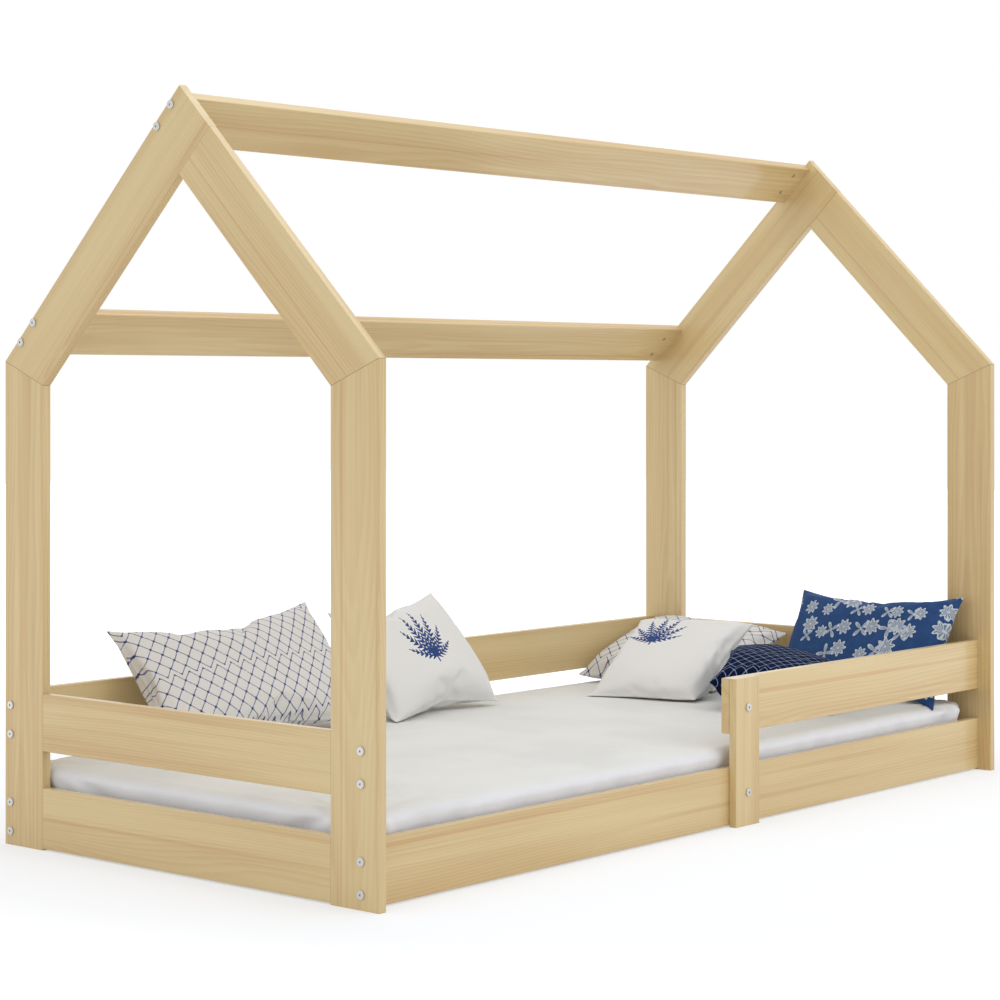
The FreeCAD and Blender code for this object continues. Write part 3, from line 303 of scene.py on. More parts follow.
def pine(name, turn, shift, tones, gloss, heart=USUAL_HEART, seams=(), coat=0.0):
    """Flat sawn pine whose grain runs along the frame's own X after the turn.

    Growth rings are rounds about a pith that lies outside the board and wanders slowly along it,
    so they open into long pointed arches on the face. Each ring darkens slowly and ends sharply.
    Broad streaks, a few reddish ones and fine fibres run along the grain. A glued joint shows as a
    thin darker line along its plane.
    """
    wood = Finish(name)
    light, middle, late = tones
    local = wood.place(turn=turn)
    moved = wood.stretch(local, (1.0, 1.0, 1.0), tuple(s + h for s, h in zip(shift, heart)))
    sway = wood.noise(wood.stretch(moved, SWAY_GRAIN), SWAY_SCALE, 2.0, 0.45, colour=True)
    split = wood.node("SeparateXYZ", {0: wood.drift(moved, sway, SWAY_WIDTH)})
    across = wood.times(split.outputs["Y"], split.outputs["Y"])
    deep = wood.times(split.outputs["Z"], split.outputs["Z"])
    radius = wood.math("SQRT", wood.plus(across, deep))
    ragged = wood.grain(moved, RAGGED_GRAIN)
    radius = wood.plus(radius, wood.times(ragged, RING_RAGGED))
    rings = wood.math("FRACT", wood.over(radius, RING_PITCH))
    rise = wood.smooth(rings, 0.05, RING_PEAK)
    ring = wood.times(rise, wood.smooth(rings, RING_PEAK, 1.0, 1.0, 0.0))
    fibre = wood.grain(moved, FIBRE_GRAIN, detail=3.0, rough=0.6)
    flow = wood.grain(moved, FLOW_GRAIN)
    streak = wood.grain(moved, STREAK_GRAIN, STREAK_SHIFT, rough=0.55)
    pores = wood.grain(moved, PORE_GRAIN, detail=1.0)
    resin = wood.grain(moved, RESIN_GRAIN, RESIN_SHIFT, detail=1.0)
    tone = wood.mix(wood.smooth(flow, 0.3, 0.7), light, middle)
    tone = wood.mix(wood.times(ring, wood.smooth(flow, 0.25, 0.75, *RING_STRENGTH)), tone, late)
    tone = wood.mix(wood.smooth(streak, 0.56, 0.74, 0.0, STREAK_STRENGTH), tone, late)
    tone = wood.mix(wood.smooth(resin, 0.65, 0.74, 0.0, RESIN_STRENGTH), tone, PINE_RED)
    tone = wood.mix(wood.smooth(fibre, 0.35, 0.75, 0.0, FIBRE_STRENGTH), tone, late, "MULTIPLY")
    tone = wood.mix(wood.smooth(pores, 0.62, 0.8, 0.0, PORE_STRENGTH), tone, late)
    for normal, offset in seams:
        at = wood.node("TexCoord").outputs["Object"]
        away = wood.node("VectorMath", {0: at, 1: normal}, operation="DOT_PRODUCT").outputs["Value"]
        away = wood.math("ABSOLUTE", wood.minus(away, offset))
        near = wood.smooth(away, 0.5 * SEAM_HALF, 1.5 * SEAM_HALF, SEAM_DEPTH, 0.0)
        tone = wood.mix(near, tone, SEAM_SHADE)
    wood.give("Base Color", tone)
    wood.give("Roughness", wood.smooth(fibre, 0.2, 0.8, gloss - 0.05, gloss + 0.09))
    height = wood.plus(wood.times(fibre, 0.5), wood.times(ring, 0.5))
    wood.give("Normal", wood.bump(height, *PINE_BUMP))
    wood.give("IOR", LACQUER_IOR)
    wood.give("Coat Weight", coat)
    wood.give("Coat Roughness", LACQUER_COAT_ROUGHNESS)
    return wood.material


EAVES_MITRE = (0.3828, 0.9238)  # the way across the eaves mitre, as Y and Z
# The way across the butt joint at the peak, and its distance: a rafter's width below the back slope.
PEAK_JOINT = ((0.0, math.sqrt(0.5), math.sqrt(0.5)), 0.8857)


def board_seams(name):
    """The glued joints of an end frame board, as planes: a direction and a distance."""
    way = 1.0 if "back" in name else -1.0
    mitre = (0.0, -way * EAVES_MITRE[0], EAVES_MITRE[1])
    low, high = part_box(name)
    if name.endswith("post"):
        corner = Vector((0.0, way * max(abs(low[1]), abs(high[1])), high[2]))
        return ((mitre, corner.dot(Vector(mitre))),)
    if name.endswith("rafter"):
        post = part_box(name.replace("rafter", "post"))
        corner = Vector((0.0, way * max(abs(post[0][1]), abs(post[1][1])), post[1][2]))
        planes = [(mitre, corner.dot(Vector(mitre)))]
        if way < 0:
            planes.append(PEAK_JOINT)
        return tuple(planes)
    if name.endswith("end_rail"):
        return tuple(((0.0, 1.0, 0.0), edge) for edge in (low[1], high[1]))
    return ()


ALONG_X = (0.0, 0.0, 0.0)
ALONG_Y = (0.0, 0.0, math.radians(90.0))
ALONG_Z = (0.0, math.radians(-90.0), 0.0)
ROOF_FALL = math.radians(45.0)
BACK_SLOPE = (-ROOF_FALL, 0.0, 0.0)


def dress(name, material):
    """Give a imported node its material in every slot."""
    slots = NODES[name].data.materials
    if not slots:
        slots.append(material)
    for index in range(len(slots)):
        slots[index] = material


def rafter_turn(front):
    """The grain of a rafter runs up its slope, in the plane of the end frame."""
    slope = Euler((ROOF_FALL if front else -ROOF_FALL, 0.0, 0.0)).to_matrix()
    return tuple((slope @ Euler(ALONG_Y).to_matrix()).to_euler())


def frame_boards():
    """Each lacquered board's name and its grain's turn."""
    boards = []
    for side in ("left", "right"):
        boards += [(f"{side}_back_post", ALONG_Z), (f"{side}_front_post", ALONG_Z)]
        boards += [(f"{side}_back_rafter", rafter_turn(False)), (f"{side}_front_rafter", rafter_turn(True))]
        boards += [(f"{side}_upper_end_rail", ALONG_Y), (f"{side}_lower_end_rail", ALONG_Y)]
    for name in ("back_upper_rail", "back_lower_rail", "front_lower_rail", "guard_rail"):
        boards.append((name, ALONG_X))
    return boards + [("ridge_board", BACK_SLOPE), ("eaves_board", BACK_SLOPE), ("guard_support", ALONG_Z)]


LACQUERED = (PINE_LIGHT, PINE_MIDDLE, PINE_LATE)
PLANED = (RAW_LIGHT, RAW_MIDDLE, RAW_LATE)
BEECH = (srgb(222, 190, 150), srgb(208, 172, 130), srgb(186, 146, 104))
LOG_REACH = 3.0  # how far along the log a board may come from, either way
SLAT_COUNT = 13
SLAT_KINDS = 4
GRAIN_SEED = 11


def dress_boards():
    """Lacquered pine on the frame, planed pine on the slatted base, each board from its own part of a log."""
    random = np.random.default_rng(GRAIN_SEED)
    for name, turn in frame_boards():
        low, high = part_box(name)
        middle = (Vector(low) + Vector(high)) / 2
        local = Euler(turn).to_matrix().transposed() @ middle
        shift = (random.uniform(-LOG_REACH, LOG_REACH), -local.y + random.uniform(-0.02, 0.02), -local.z)
        heart = (0.0, random.choice((-1.0, 1.0)) * random.uniform(0.0, 0.03), random.uniform(0.05, 0.11))
        dress(name, pine(f"lacquered_{name}", turn, shift, LACQUERED, LACQUER_GLOSS, heart,
                         board_seams(name), LACQUER_COAT))
    for index in range(SLAT_KINDS):
        shift = (random.uniform(-LOG_REACH, LOG_REACH), random.uniform(-0.2, 0.2), random.uniform(0.0, 0.03))
        plank = pine(f"planed_slat_{index}", ALONG_Y, shift, PLANED, PLANED_GLOSS)
        for number in range(index + 1, SLAT_COUNT + 1, SLAT_KINDS):
            dress(f"slat_{number:02d}", plank)
    for name in ("back_slat_bearer", "front_slat_bearer"):
        shift = (random.uniform(-LOG_REACH, LOG_REACH), 0.4, 0.0)
        dress(name, pine(f"planed_{name}", ALONG_X, shift, PLANED, PLANED_GLOSS))


def dress_fittings():
    """Beech dowels, nickel plated bolts, zinc plated nuts and screws, and woven tapes."""
    peg = pine("beech_dowel", ALONG_Y, (0.3, 0.0, 0.0), BEECH, 0.55)
    nickel = metal("nickel_steel", srgb(206, 205, 202), 0.30)
    zinc = metal("zinc_steel", srgb(178, 180, 184), 0.38)
    tape = woven_tape()
    for name in NODES:
        if name.endswith("dowels"):
            dress(name, peg)
        elif name.endswith("bolts"):
            dress(name, nickel)
        elif name.endswith("nuts") or name.endswith("screws"):
            dress(name, zinc)
        elif name.endswith("slat_tape"):
            dress(name, tape)


def metal(name, colour, roughness):
    """Turned and plated steel with faint turning marks."""
    steel = Finish(name)
    marks = steel.noise(steel.place(), 900.0)
    worn = steel.mix(steel.smooth(marks, 0.3, 0.7, 0.0, 0.12), colour, srgb(150, 150, 148))
    steel.give("Base Color", worn)
    steel.give("Roughness", steel.smooth(marks, 0.3, 0.7, roughness - 0.04, roughness + 0.08))
    steel.give("Metallic", 1.0)
    return steel.material


def woven_tape():
    """Flat polyester tape with a twill rib."""
    tape = Finish("woven_tape")
    weave = {"Vector": tape.place(), "Scale": 320.0, "Distortion": 0.6, "Detail": 1.0}
    rib = tape.node("TexWave", weave, bands_direction="DIAGONAL").outputs["Fac"]
    tape.give("Base Color", tape.mix(rib, srgb(222, 220, 212), srgb(196, 193, 184)))
    tape.give("Roughness", 0.8)
    tape.give("Normal", tape.bump(rib, 0.3, 0.0003))
    return tape.material


# ---------------------------------------------------------------- cloth finishes


PILLOW_THREADS = 4500.0  # the threads' wave, in radians per metre
SHEET_THREADS = 5400.0
SLUB_GRAIN = (60.0, 900.0, 60.0)
SLUB_SHADE = (0.75, 0.75, 0.75, 1.0)
THREAD_BUMP = (0.16, 0.0003)
SOFT_BUMP = (0.22, 0.002)
COTTON_ROUGHNESS = 0.78
SHEEN_ROUGHNESS = 0.4
USUAL_SHEEN = (0.12, 0.25)  # the sheen's weight and the level of the mirror light
DARK_SHEEN = (0.0, 0.08)


def cloth(name, ground, place=(), threads=PILLOW_THREADS, sheen=USUAL_SHEEN):
    """Cotton: crossed threads, soft slubs and a little sheen over its printed or plain ground."""
    cotton = Finish(name)
    coords = cotton.place(*place)
    split = cotton.node("SeparateXYZ", {0: coords})
    warp = cotton.math("SINE", cotton.times(split.outputs["X"], threads))
    weft = cotton.math("SINE", cotton.times(split.outputs["Y"], threads))
    thread = cotton.times(warp, weft)
    slub = cotton.grain(coords, SLUB_GRAIN)
    soft = cotton.noise(coords, 22.0, 3.0)
    colour = ground(cotton, coords)
    colour = cotton.mix(cotton.smooth(slub, 0.4, 0.8, 0.0, 0.10), colour, SLUB_SHADE, "MULTIPLY")
    cotton.give("Base Color", colour)
    cotton.give("Roughness", COTTON_ROUGHNESS)
    cotton.give("Sheen Weight", sheen[0])
    cotton.give("Sheen Roughness", SHEEN_ROUGHNESS)
    cotton.give("Specular IOR Level", sheen[1])
    fine = cotton.plus(cotton.times(thread, 0.3), slub)
    first = cotton.bump(fine, *THREAD_BUMP)
    cotton.give("Normal", cotton.bump(soft, *SOFT_BUMP, first))
    return cotton.material


LINE_SOFT = 0.0006
LATTICE_ROWS = 3
BAND_GAP = 0.42  # the unprinted zigzag's width, in squares
HAND_WAVER = (0.004, 0.004, 0.0)
KNOT_WIDTH = 2.6  # in widths of a line
INK_WEAR = (0.30, 0.44, 0.35, 0.9)


def line_mask(cotton, coordinate, pitch, width):
    """One near the lines of a ruling of the pitch, zero between them."""
    away = cotton.times(cotton.repeat(coordinate, pitch), pitch)
    return cotton.smooth(away, pitch / 2 - width / 2 - LINE_SOFT, pitch / 2 - width / 2 + LINE_SOFT)


def lattice_ground(ground, line, pitch, width):
    """Hand drawn slanted squares in bands of a few rows, parted by a narrow zigzag without lines.

    The zigzag is a triangle wave as steep as the lines, so each band ends on whole squares. Where
    two lines cross there is a small knot.
    """
    step = pitch * math.sqrt(2)
    rows = LATTICE_ROWS * step
    repeat = rows + BAND_GAP * step
    wide = math.sqrt(2) * width

    def paint(cotton, coords):
        drawn = cotton.drift(coords, cotton.noise(coords, 38.0, colour=True), HAND_WAVER)
        parts = cotton.node("SeparateXYZ", {0: drawn})
        x, y = parts.outputs["X"], parts.outputs["Y"]
        zigzag = cotton.times(cotton.repeat(x, step), step)
        above = cotton.plus(cotton.minus(y, zigzag), width + 10 * repeat)
        band = cotton.times(cotton.math("FRACT", cotton.over(above, repeat)), repeat)
        in_band = cotton.math("LESS_THAN", band, rows + 2 * width)
        height = cotton.plus(cotton.minus(band, width), zigzag)
        rising = cotton.plus(cotton.minus(x, height), step / 2)
        falling = cotton.plus(cotton.plus(x, height), step / 2)
        lines = [line_mask(cotton, way, step, wide) for way in (rising, falling)]
        knots = [line_mask(cotton, way, step, KNOT_WIDTH * wide) for way in (rising, falling)]
        worn = cotton.smooth(cotton.noise(coords, 260.0, 1.0), *INK_WEAR)
        mask = cotton.times(cotton.math("MAXIMUM", *lines), worn)
        mask = cotton.math("MAXIMUM", mask, cotton.times(*knots))
        return cotton.mix(cotton.times(mask, in_band), ground, line)

    return paint


FERN_BEND = 1.3
FERN_SWELL = 2.4  # on the outline: the root of the share along the stem times the share that is left
LEAFLET_PITCH = 0.012
LEAFLET_SLANT = 0.9
LEAFLET_THICK = 0.34  # half a leaflet's thickness at the stem, in pitches
NARROWEST = 0.0004
STEM_HALF = 0.0012


def fern_mask(cotton, across, along, root, lean, length, reach):
    """One frond: leaflets that slant off a bent stem and shorten towards its tip.

    The stem bends by a square law, the leaflets repeat along it by a pitch, and each is a lens
    whose length follows the frond's outline.
    """
    turn_cos, turn_sin = math.cos(lean), math.sin(lean)
    x = cotton.minus(across, root[0])
    y = cotton.minus(along, root[1])
    up = cotton.plus(cotton.times(x, turn_sin), cotton.times(y, turn_cos))
    off = cotton.minus(cotton.times(x, turn_cos), cotton.times(y, turn_sin))
    bend = cotton.times(cotton.times(up, up), FERN_BEND * lean)
    side = cotton.math("ABSOLUTE", cotton.plus(off, bend))
    share = cotton.over(up, length)
    inside = cotton.times(cotton.math("GREATER_THAN", share, 0.0), cotton.math("LESS_THAN", share, 1.0))
    root_share = cotton.math("SQRT", cotton.math("MAXIMUM", share, 0.0))
    left_share = cotton.math("MAXIMUM", cotton.minus(1.0, share), 0.0)
    hull = cotton.times(cotton.times(root_share, left_share), FERN_SWELL * reach)
    outward = cotton.over(side, cotton.math("MAXIMUM", hull, NARROWEST))
    slanted = cotton.minus(up, cotton.times(side, LEAFLET_SLANT))
    inward = cotton.minus(1.0, cotton.times(outward, outward))
    lens = cotton.times(inward, LEAFLET_THICK)
    leaflet = cotton.math("LESS_THAN", cotton.repeat(slanted, LEAFLET_PITCH, 20.0), lens)
    stem = cotton.math("LESS_THAN", side, STEM_HALF)
    return cotton.times(inside, cotton.math("MAXIMUM", leaflet, stem))


# Each frond's lean in radians, how far up the stalk it starts and its share of the longest one.
FRONDS = ((0.0, 0.0, 1.0), (0.42, 0.10, 0.94), (-0.42, 0.10, 0.94), (0.84, 0.06, 0.82), (-0.84, 0.06, 0.82),
          (1.28, 0.0, 0.64), (-1.28, 0.0, 0.64))
FROND_ROOT = -0.42  # these four in sizes of the sprig
FROND_LIFT = 0.16
FROND_LENGTH = 0.92
FROND_REACH = 0.15
STALK_HALF = 0.0022
STALK_SPAN = (-0.52, -0.40)


def sprig_ground(ground, ink, centre, size):
    """One printed sprig of seven fronds that spread from a short stalk, on the front panel alone."""

    def paint(cotton, coords):
        split = cotton.node("SeparateXYZ", {0: coords})
        x = cotton.minus(split.outputs["X"], centre[0])
        y = cotton.minus(split.outputs["Y"], centre[1])
        stalk = cotton.math("LESS_THAN", cotton.math("ABSOLUTE", x), STALK_HALF)
        for end, side in zip(STALK_SPAN, ("GREATER_THAN", "LESS_THAN")):
            stalk = cotton.times(stalk, cotton.math(side, y, end * size))
        mask = stalk
        for lean, lift, share in FRONDS:
            root = (0.0, FROND_ROOT * size + FROND_LIFT * size * lift)
            length, reach = size * FROND_LENGTH * share, size * FROND_REACH * share
            mask = cotton.math("MAXIMUM", mask, fern_mask(cotton, x, y, root, lean, length, reach))
        front = cotton.math("GREATER_THAN", split.outputs["Z"], 0.0)
        return cotton.mix(cotton.times(mask, front), ground, ink)

    return paint


# Leaves and rosettes: whether leaves, cells per metre, the cells' shift, waves round the outline, the
# outline's least reach and what its waves add, and the share of the cells that stay empty.
LEAF_KINDS = ((True, 15.0, (0.03, 0.01, 0.0), 2.0, 0.12, 1.0, 0.45),
              (False, 16.5, (0.0, 0.0, 0.0), 8.0, 0.82, 0.18, 0.12))
CELL_SCATTER = 0.55
CELL_TURN = 6.28  # the most that chance turns a drawing, in radians
LEAF_SIZE = (0.017, 0.009)  # the smallest, and what chance adds
LEAF_NARROWING = 3.0
VEIN_SCALE = 0.00055
PETAL_LINES = 18.0
INK_STRENGTH = (0.25, 0.7)  # inside an outline, and what its lines add


def leaf_ground(ground, pale, middle):
    """Rosettes and leaves scattered over a blue ground, each in its own cell and turn."""

    def paint(cotton, coords):
        flat = cotton.stretch(coords, (1.0, 1.0, 0.0))
        cloudy = cotton.smooth(cotton.noise(flat, 30.0, 3.0, 0.6), 0.4, 0.7, 0.0, 0.35)
        colour = cotton.mix(cloudy, ground, middle)
        for leafy, scale, shift, waves, least, more, empty in LEAF_KINDS:
            cells = cotton.stretch(flat, (1.0, 1.0, 1.0), shift)
            scatter = {"Vector": cells, "Scale": scale, "Randomness": CELL_SCATTER}
            cell = cotton.node("TexVoronoi", scatter, voronoi_dimensions="2D")
            middle_point = cell.outputs["Position"]
            away = cotton.node("VectorMath", {0: cells, 1: middle_point}, operation="SUBTRACT").outputs[0]
            local = cotton.node("SeparateXYZ", {0: away})
            chance = cotton.node("SeparateColor", {0: cell.outputs["Color"]})
            angle = cotton.math("ARCTAN2", local.outputs["Y"], local.outputs["X"])
            angle = cotton.plus(angle, cotton.times(chance.outputs[0], CELL_TURN))
            radius = cotton.node("VectorMath", {0: away}, operation="LENGTH").outputs["Value"]
            size = cotton.plus(LEAF_SIZE[0], cotton.times(chance.outputs[1], LEAF_SIZE[1]))
            wave = cotton.math("COSINE", cotton.times(angle, waves))
            if leafy:
                wave = cotton.math("POWER", cotton.math("ABSOLUTE", wave), LEAF_NARROWING)
                lines = cotton.math("COSINE", cotton.over(radius, VEIN_SCALE))
            else:
                lines = cotton.math("COSINE", cotton.times(angle, PETAL_LINES))
            edge = cotton.times(size, cotton.plus(least, cotton.times(wave, more)))
            share = cotton.over(radius, edge)
            shape = cotton.smooth(share, 0.94, 1.0, 1.0, 0.0)
            rim = cotton.times(cotton.smooth(share, 0.74, 0.80), shape)
            ribs = cotton.times(cotton.smooth(lines, 0.1, 0.5), cotton.smooth(share, 0.16, 0.24))
            core = cotton.smooth(share, 0.14, 0.2, 1.0, 0.0)
            ink = cotton.math("MAXIMUM", cotton.math("MAXIMUM", rim, core), ribs)
            present = cotton.math("GREATER_THAN", chance.outputs[2], empty)
            strength = cotton.plus(INK_STRENGTH[0], cotton.times(ink, INK_STRENGTH[1]))
            mask = cotton.times(cotton.times(shape, present), strength)
            colour = cotton.mix(mask, colour, pale)
        return colour

    return paint


SHEET_TOP = srgb(228, 229, 227)
# The side panels' colour is painted light: whiter and bluer than the top, standing for the brighter light on
# the sides.
SHEET_SIDE_PAINTED_LIGHT = srgb(238, 241, 250)
SHEET_DARKER = 0.93
SHOULDER_FADE = 0.022


def sheet_ground(top, side, shoulder):
    """The sheet's soft grey white top, a little uneven, and its side panels below the shoulder painted whiter
    and bluer, as painted light on the sides.
    """

    def paint(cotton, coords):
        darker = tuple(part * SHEET_DARKER for part in top[:3]) + (1.0,)
        surface = cotton.mix(cotton.smooth(cotton.noise(coords, 5.0), 0.35, 0.7), top, darker)
        height = cotton.node("SeparateXYZ", {0: coords}).outputs["Z"]
        above = cotton.smooth(height, shoulder - SHOULDER_FADE, shoulder)
        # Below the shoulder the painted light of the sides, above it the top's own colour.
        return cotton.mix(above, side, surface)

    return paint


# ---------------------------------------------------------------- mattress


def mesh_piece(name, points, faces):
    """A smooth mesh object at the origin from an array of points and a list of faces."""
    mesh = bpy.data.meshes.new(name)
    mesh.from_pydata(points.tolist(), [], faces)
    mesh.update()
    mesh.polygons.foreach_set("use_smooth", np.ones(len(mesh.polygons), bool))
    piece = bpy.data.objects.new(name, mesh)
    bpy.context.scene.collection.objects.link(piece)
    return piece


def closed_loft(rings):
    """Quads of rings of equally many points, each ring closed, in the order of the rings."""
    count, around = rings.shape[:2]
    index = np.arange(count * around).reshape(count, around)
    beside = np.roll(index, -1, axis=1)
    quads = np.stack([index[:-1], beside[:-1], beside[1:], index[1:]], axis=-1)
    return rings.reshape(-1, 3), quads.reshape(-1, 4).tolist()


def smoothstep(low, high, value):
    """Zero below low, one above high and a soft rise between them."""
    share = np.clip((value - low) / (high - low), 0.0, 1.0)
    return share * share * (3 - 2 * share)


MATTRESS_LOW, MATTRESS_HIGH = (np.array(corner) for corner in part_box("mattress"))
MATTRESS_CORNER = 0.034
MATTRESS_EDGE = 0.020
MATTRESS_CROWN = 0.006
MATTRESS_REACH = 0.070
MATTRESS_AROUND = 720  # points in each ring
SIDE_DRAW = 0.005  # how far the sides draw in at mid height
# The crown's rise: shares of its reach from the edge, and of its height.
CROWN_REACH = np.array([0.0, 0.3, 0.6, 1.0])
CROWN_RISE = np.array([0.0, 0.5, 0.87, 1.0])


def mattress_top(x, y):
    """Height of the mattress' top: round at the edge, then a slow crown."""
    low, high = MATTRESS_LOW, MATTRESS_HIGH
    inset = np.minimum.reduce([x - low[0], high[0] - x, y - low[1], high[1] - y])
    inset = np.maximum(inset, 0.0)
    shoulder = MATTRESS_HIGH[2] - MATTRESS_CROWN
    lower = np.clip(1 - inset / MATTRESS_EDGE, 0.0, 1.0)
    rounding = MATTRESS_EDGE * (1 - np.sqrt(np.maximum(1 - lower ** 2, 0.0)))
    crown = np.interp(inset, MATTRESS_EDGE + CROWN_REACH * MATTRESS_REACH, CROWN_RISE * MATTRESS_CROWN)
    return shoulder - rounding + crown


def rounded_path(half_x, half_y, corner, count):
    """Points at even steps along a rectangle with round corners, as an array of x and y."""
    quarter = np.linspace(0.0, math.pi / 2, 24)
    turns = np.concatenate([quarter + start * math.pi / 2 for start in range(4)])
    centres = np.repeat(np.array([(1, 1), (-1, 1), (-1, -1), (1, -1)], float), len(quarter), axis=0)
    centres = centres * np.array([half_x - corner, half_y - corner])
    path = centres + corner * np.stack([np.cos(turns), np.sin(turns)], axis=1)
    closed = np.vstack([path, path[:1]])
    length = np.concatenate([[0.0], np.cumsum(np.linalg.norm(np.diff(closed, axis=0), axis=1))])
    even = np.linspace(0.0, length[-1], count, endpoint=False)
    return np.stack([np.interp(even, length, closed[:, axis]) for axis in (0, 1)], axis=1)


def make_mattress():
    """The mattress in its fitted sheet.

    A profile is carried round a rectangle with round corners: flat below, a round bottom edge, a
    side panel that draws in by half a sine wave, a round top edge, then rings that close over the
    crowned top. The rings meet in one point below and in a strip of quads on top. The sheet's folds
    are added at last.
    """
    low, high = MATTRESS_LOW, MATTRESS_HIGH
    middle = (low + high) / 2
    half = (high - low) / 2
    around = MATTRESS_AROUND
    thick = high[2] - low[2] - MATTRESS_CROWN
    turn = np.linspace(0.0, math.pi / 2, 7)
    profile = [(0.2, 0.0), (0.06, 0.0)]
    profile += [(MATTRESS_EDGE * (1 - math.sin(a)), MATTRESS_EDGE * (1 - math.cos(a))) for a in turn]
    side = np.linspace(MATTRESS_EDGE, thick - MATTRESS_EDGE, 16)[1:-1]
    draw = SIDE_DRAW * np.sin((side - MATTRESS_EDGE) / (thick - 2 * MATTRESS_EDGE) * math.pi)
    profile += list(zip(draw, side))
    profile += [(MATTRESS_EDGE * (1 - math.cos(a)), thick - MATTRESS_EDGE * (1 - math.sin(a))) for a in turn]
    insets = np.concatenate([np.linspace(0.026, 0.14, 16), np.linspace(0.155, half[1] - 0.002, 30)])
    rings = []
    for inset, height in profile:
        path = rounded_path(half[0] - inset, half[1] - inset, max(MATTRESS_CORNER - inset, 0.004), around)
        rings.append(np.column_stack([path, np.full(around, height)]))
    for inset in insets:
        corner = min(max(MATTRESS_CORNER, 0.3 * inset), 0.9 * (half[1] - inset))
        path = rounded_path(half[0] - inset, half[1] - inset, corner, around)
        rings.append(np.column_stack([path, np.zeros(around)]))
    rings = np.array(rings)
    rings[:, :, 0] += middle[0]
    rings[:, :, 1] += middle[1]
    rings[len(profile):, :, 2] = mattress_top(rings[len(profile):, :, 0], rings[len(profile):, :, 1]) - low[2]
    rings[:, :, 2] += low[2]
    points, faces = closed_loft(rings)
    points = sheet_folds(points, middle, half)
    count = len(points)
    bottom = np.array([middle[0], middle[1], low[2]])
    caps = [((i + 1) % around, i, count) for i in range(around)]
    last, tip = count - around, count - around // 2
    lids = [(last + i, last + i + 1, count - i - 1, count - i) for i in range(1, around // 2 - 1)]
    lids += [(last, last + 1, count - 1), (tip - 1, tip, tip + 1)]
    piece = mesh_piece("mattress_in_sheet", np.vstack([points, bottom]), faces + caps + lids)
    # The sheet's side panels below the shoulder get a lighter colour that is painted light on the sides.
    ground = sheet_ground(SHEET_TOP, SHEET_SIDE_PAINTED_LIGHT, high[2] - MATTRESS_CROWN)
    piece.data.materials.append(cloth("cotton_sheet", ground, threads=SHEET_THREADS))
    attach(piece, "mattress")
    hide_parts("mattress")
    return piece


CORNER_BAND = 0.02
PLEAT_RIDGE = 0.0045
PLEAT_VALLEY = 0.0095
HEM_WAVE = 0.0030
TOP_PLEAT = 0.0040
TOP_WAVE = 0.0012
TOP_CREASE = 0.0022
TOP_SINK = 0.0025  # keeps the folds on the top inside the mattress' box


def sheet_folds(points, middle, half):
    """Folds of the fitted sheet, as pushes along each point's outward way.

    Pleats: the cube of a sine of the angle about the corner, of the distance from it and of the
    height, so they fan over the top edge; they fade out 0.34 m from the corner. Hem: the product of
    two sines along the side. Top: the product of two slanting sines, and creases that are a bell
    curve of a third one.
    """
    local = points - np.array([middle[0], middle[1], 0.0])
    x, y, z = local.T
    to_corner_x = half[0] - np.abs(x)
    to_corner_y = half[1] - np.abs(y)
    inset = np.minimum(to_corner_x, to_corner_y)
    side = smoothstep(0.03, 0.0, inset)
    top = smoothstep(0.10, 0.03, MATTRESS_HIGH[2] - points[:, 2])
    from_corner = np.hypot(np.maximum(to_corner_x, 0.0), np.maximum(to_corner_y, 0.0))
    angle = np.arctan2(to_corner_y + CORNER_BAND, to_corner_x + CORNER_BAND)
    seed = np.sign(x) * 1.7 + np.sign(y) * 0.9
    pleat = np.sin(angle * 19.0 + seed * 3.0 + 9.0 * from_corner + 24.0 * z) ** 3
    pleat *= smoothstep(0.34, 0.04, from_corner)
    run = np.where(to_corner_x < to_corner_y, y, x)
    hem = np.sin(run * 43.0 + 1.7 * np.sin(run * 17.0)) * np.sin(run * 19.0 + seed)
    hem *= smoothstep(0.0, 0.1, from_corner) * side
    wave = np.sin(9.0 * x + 14.0 * y + 1.5 * np.sin(5.0 * x)) * np.sin(6.0 * x - 11.0 * y + 0.8)
    crease = np.exp(-((np.sin(3.1 * x + 7.3 * y + 0.9 * np.sin(6.0 * y)) / 0.16) ** 2))
    crease *= smoothstep(0.6, 0.1, from_corner)
    outward_x = np.sign(x) * (to_corner_x <= to_corner_y + CORNER_BAND) * side
    outward_y = np.sign(y) * (to_corner_y <= to_corner_x + CORNER_BAND) * side
    push = np.where(pleat > 0, PLEAT_RIDGE, PLEAT_VALLEY) * pleat * side + HEM_WAVE * hem
    lift = (TOP_PLEAT * pleat + TOP_WAVE * wave + TOP_CREASE * crease) * smoothstep(0.0, 0.03, inset) * top
    moved = points.copy()
    moved[:, 0] += outward_x * push
    moved[:, 1] += outward_y * push
    moved[:, 2] += lift - TOP_SINK * (top * smoothstep(0.0, 0.05, inset))
    return moved


# ---------------------------------------------------------------- pillows

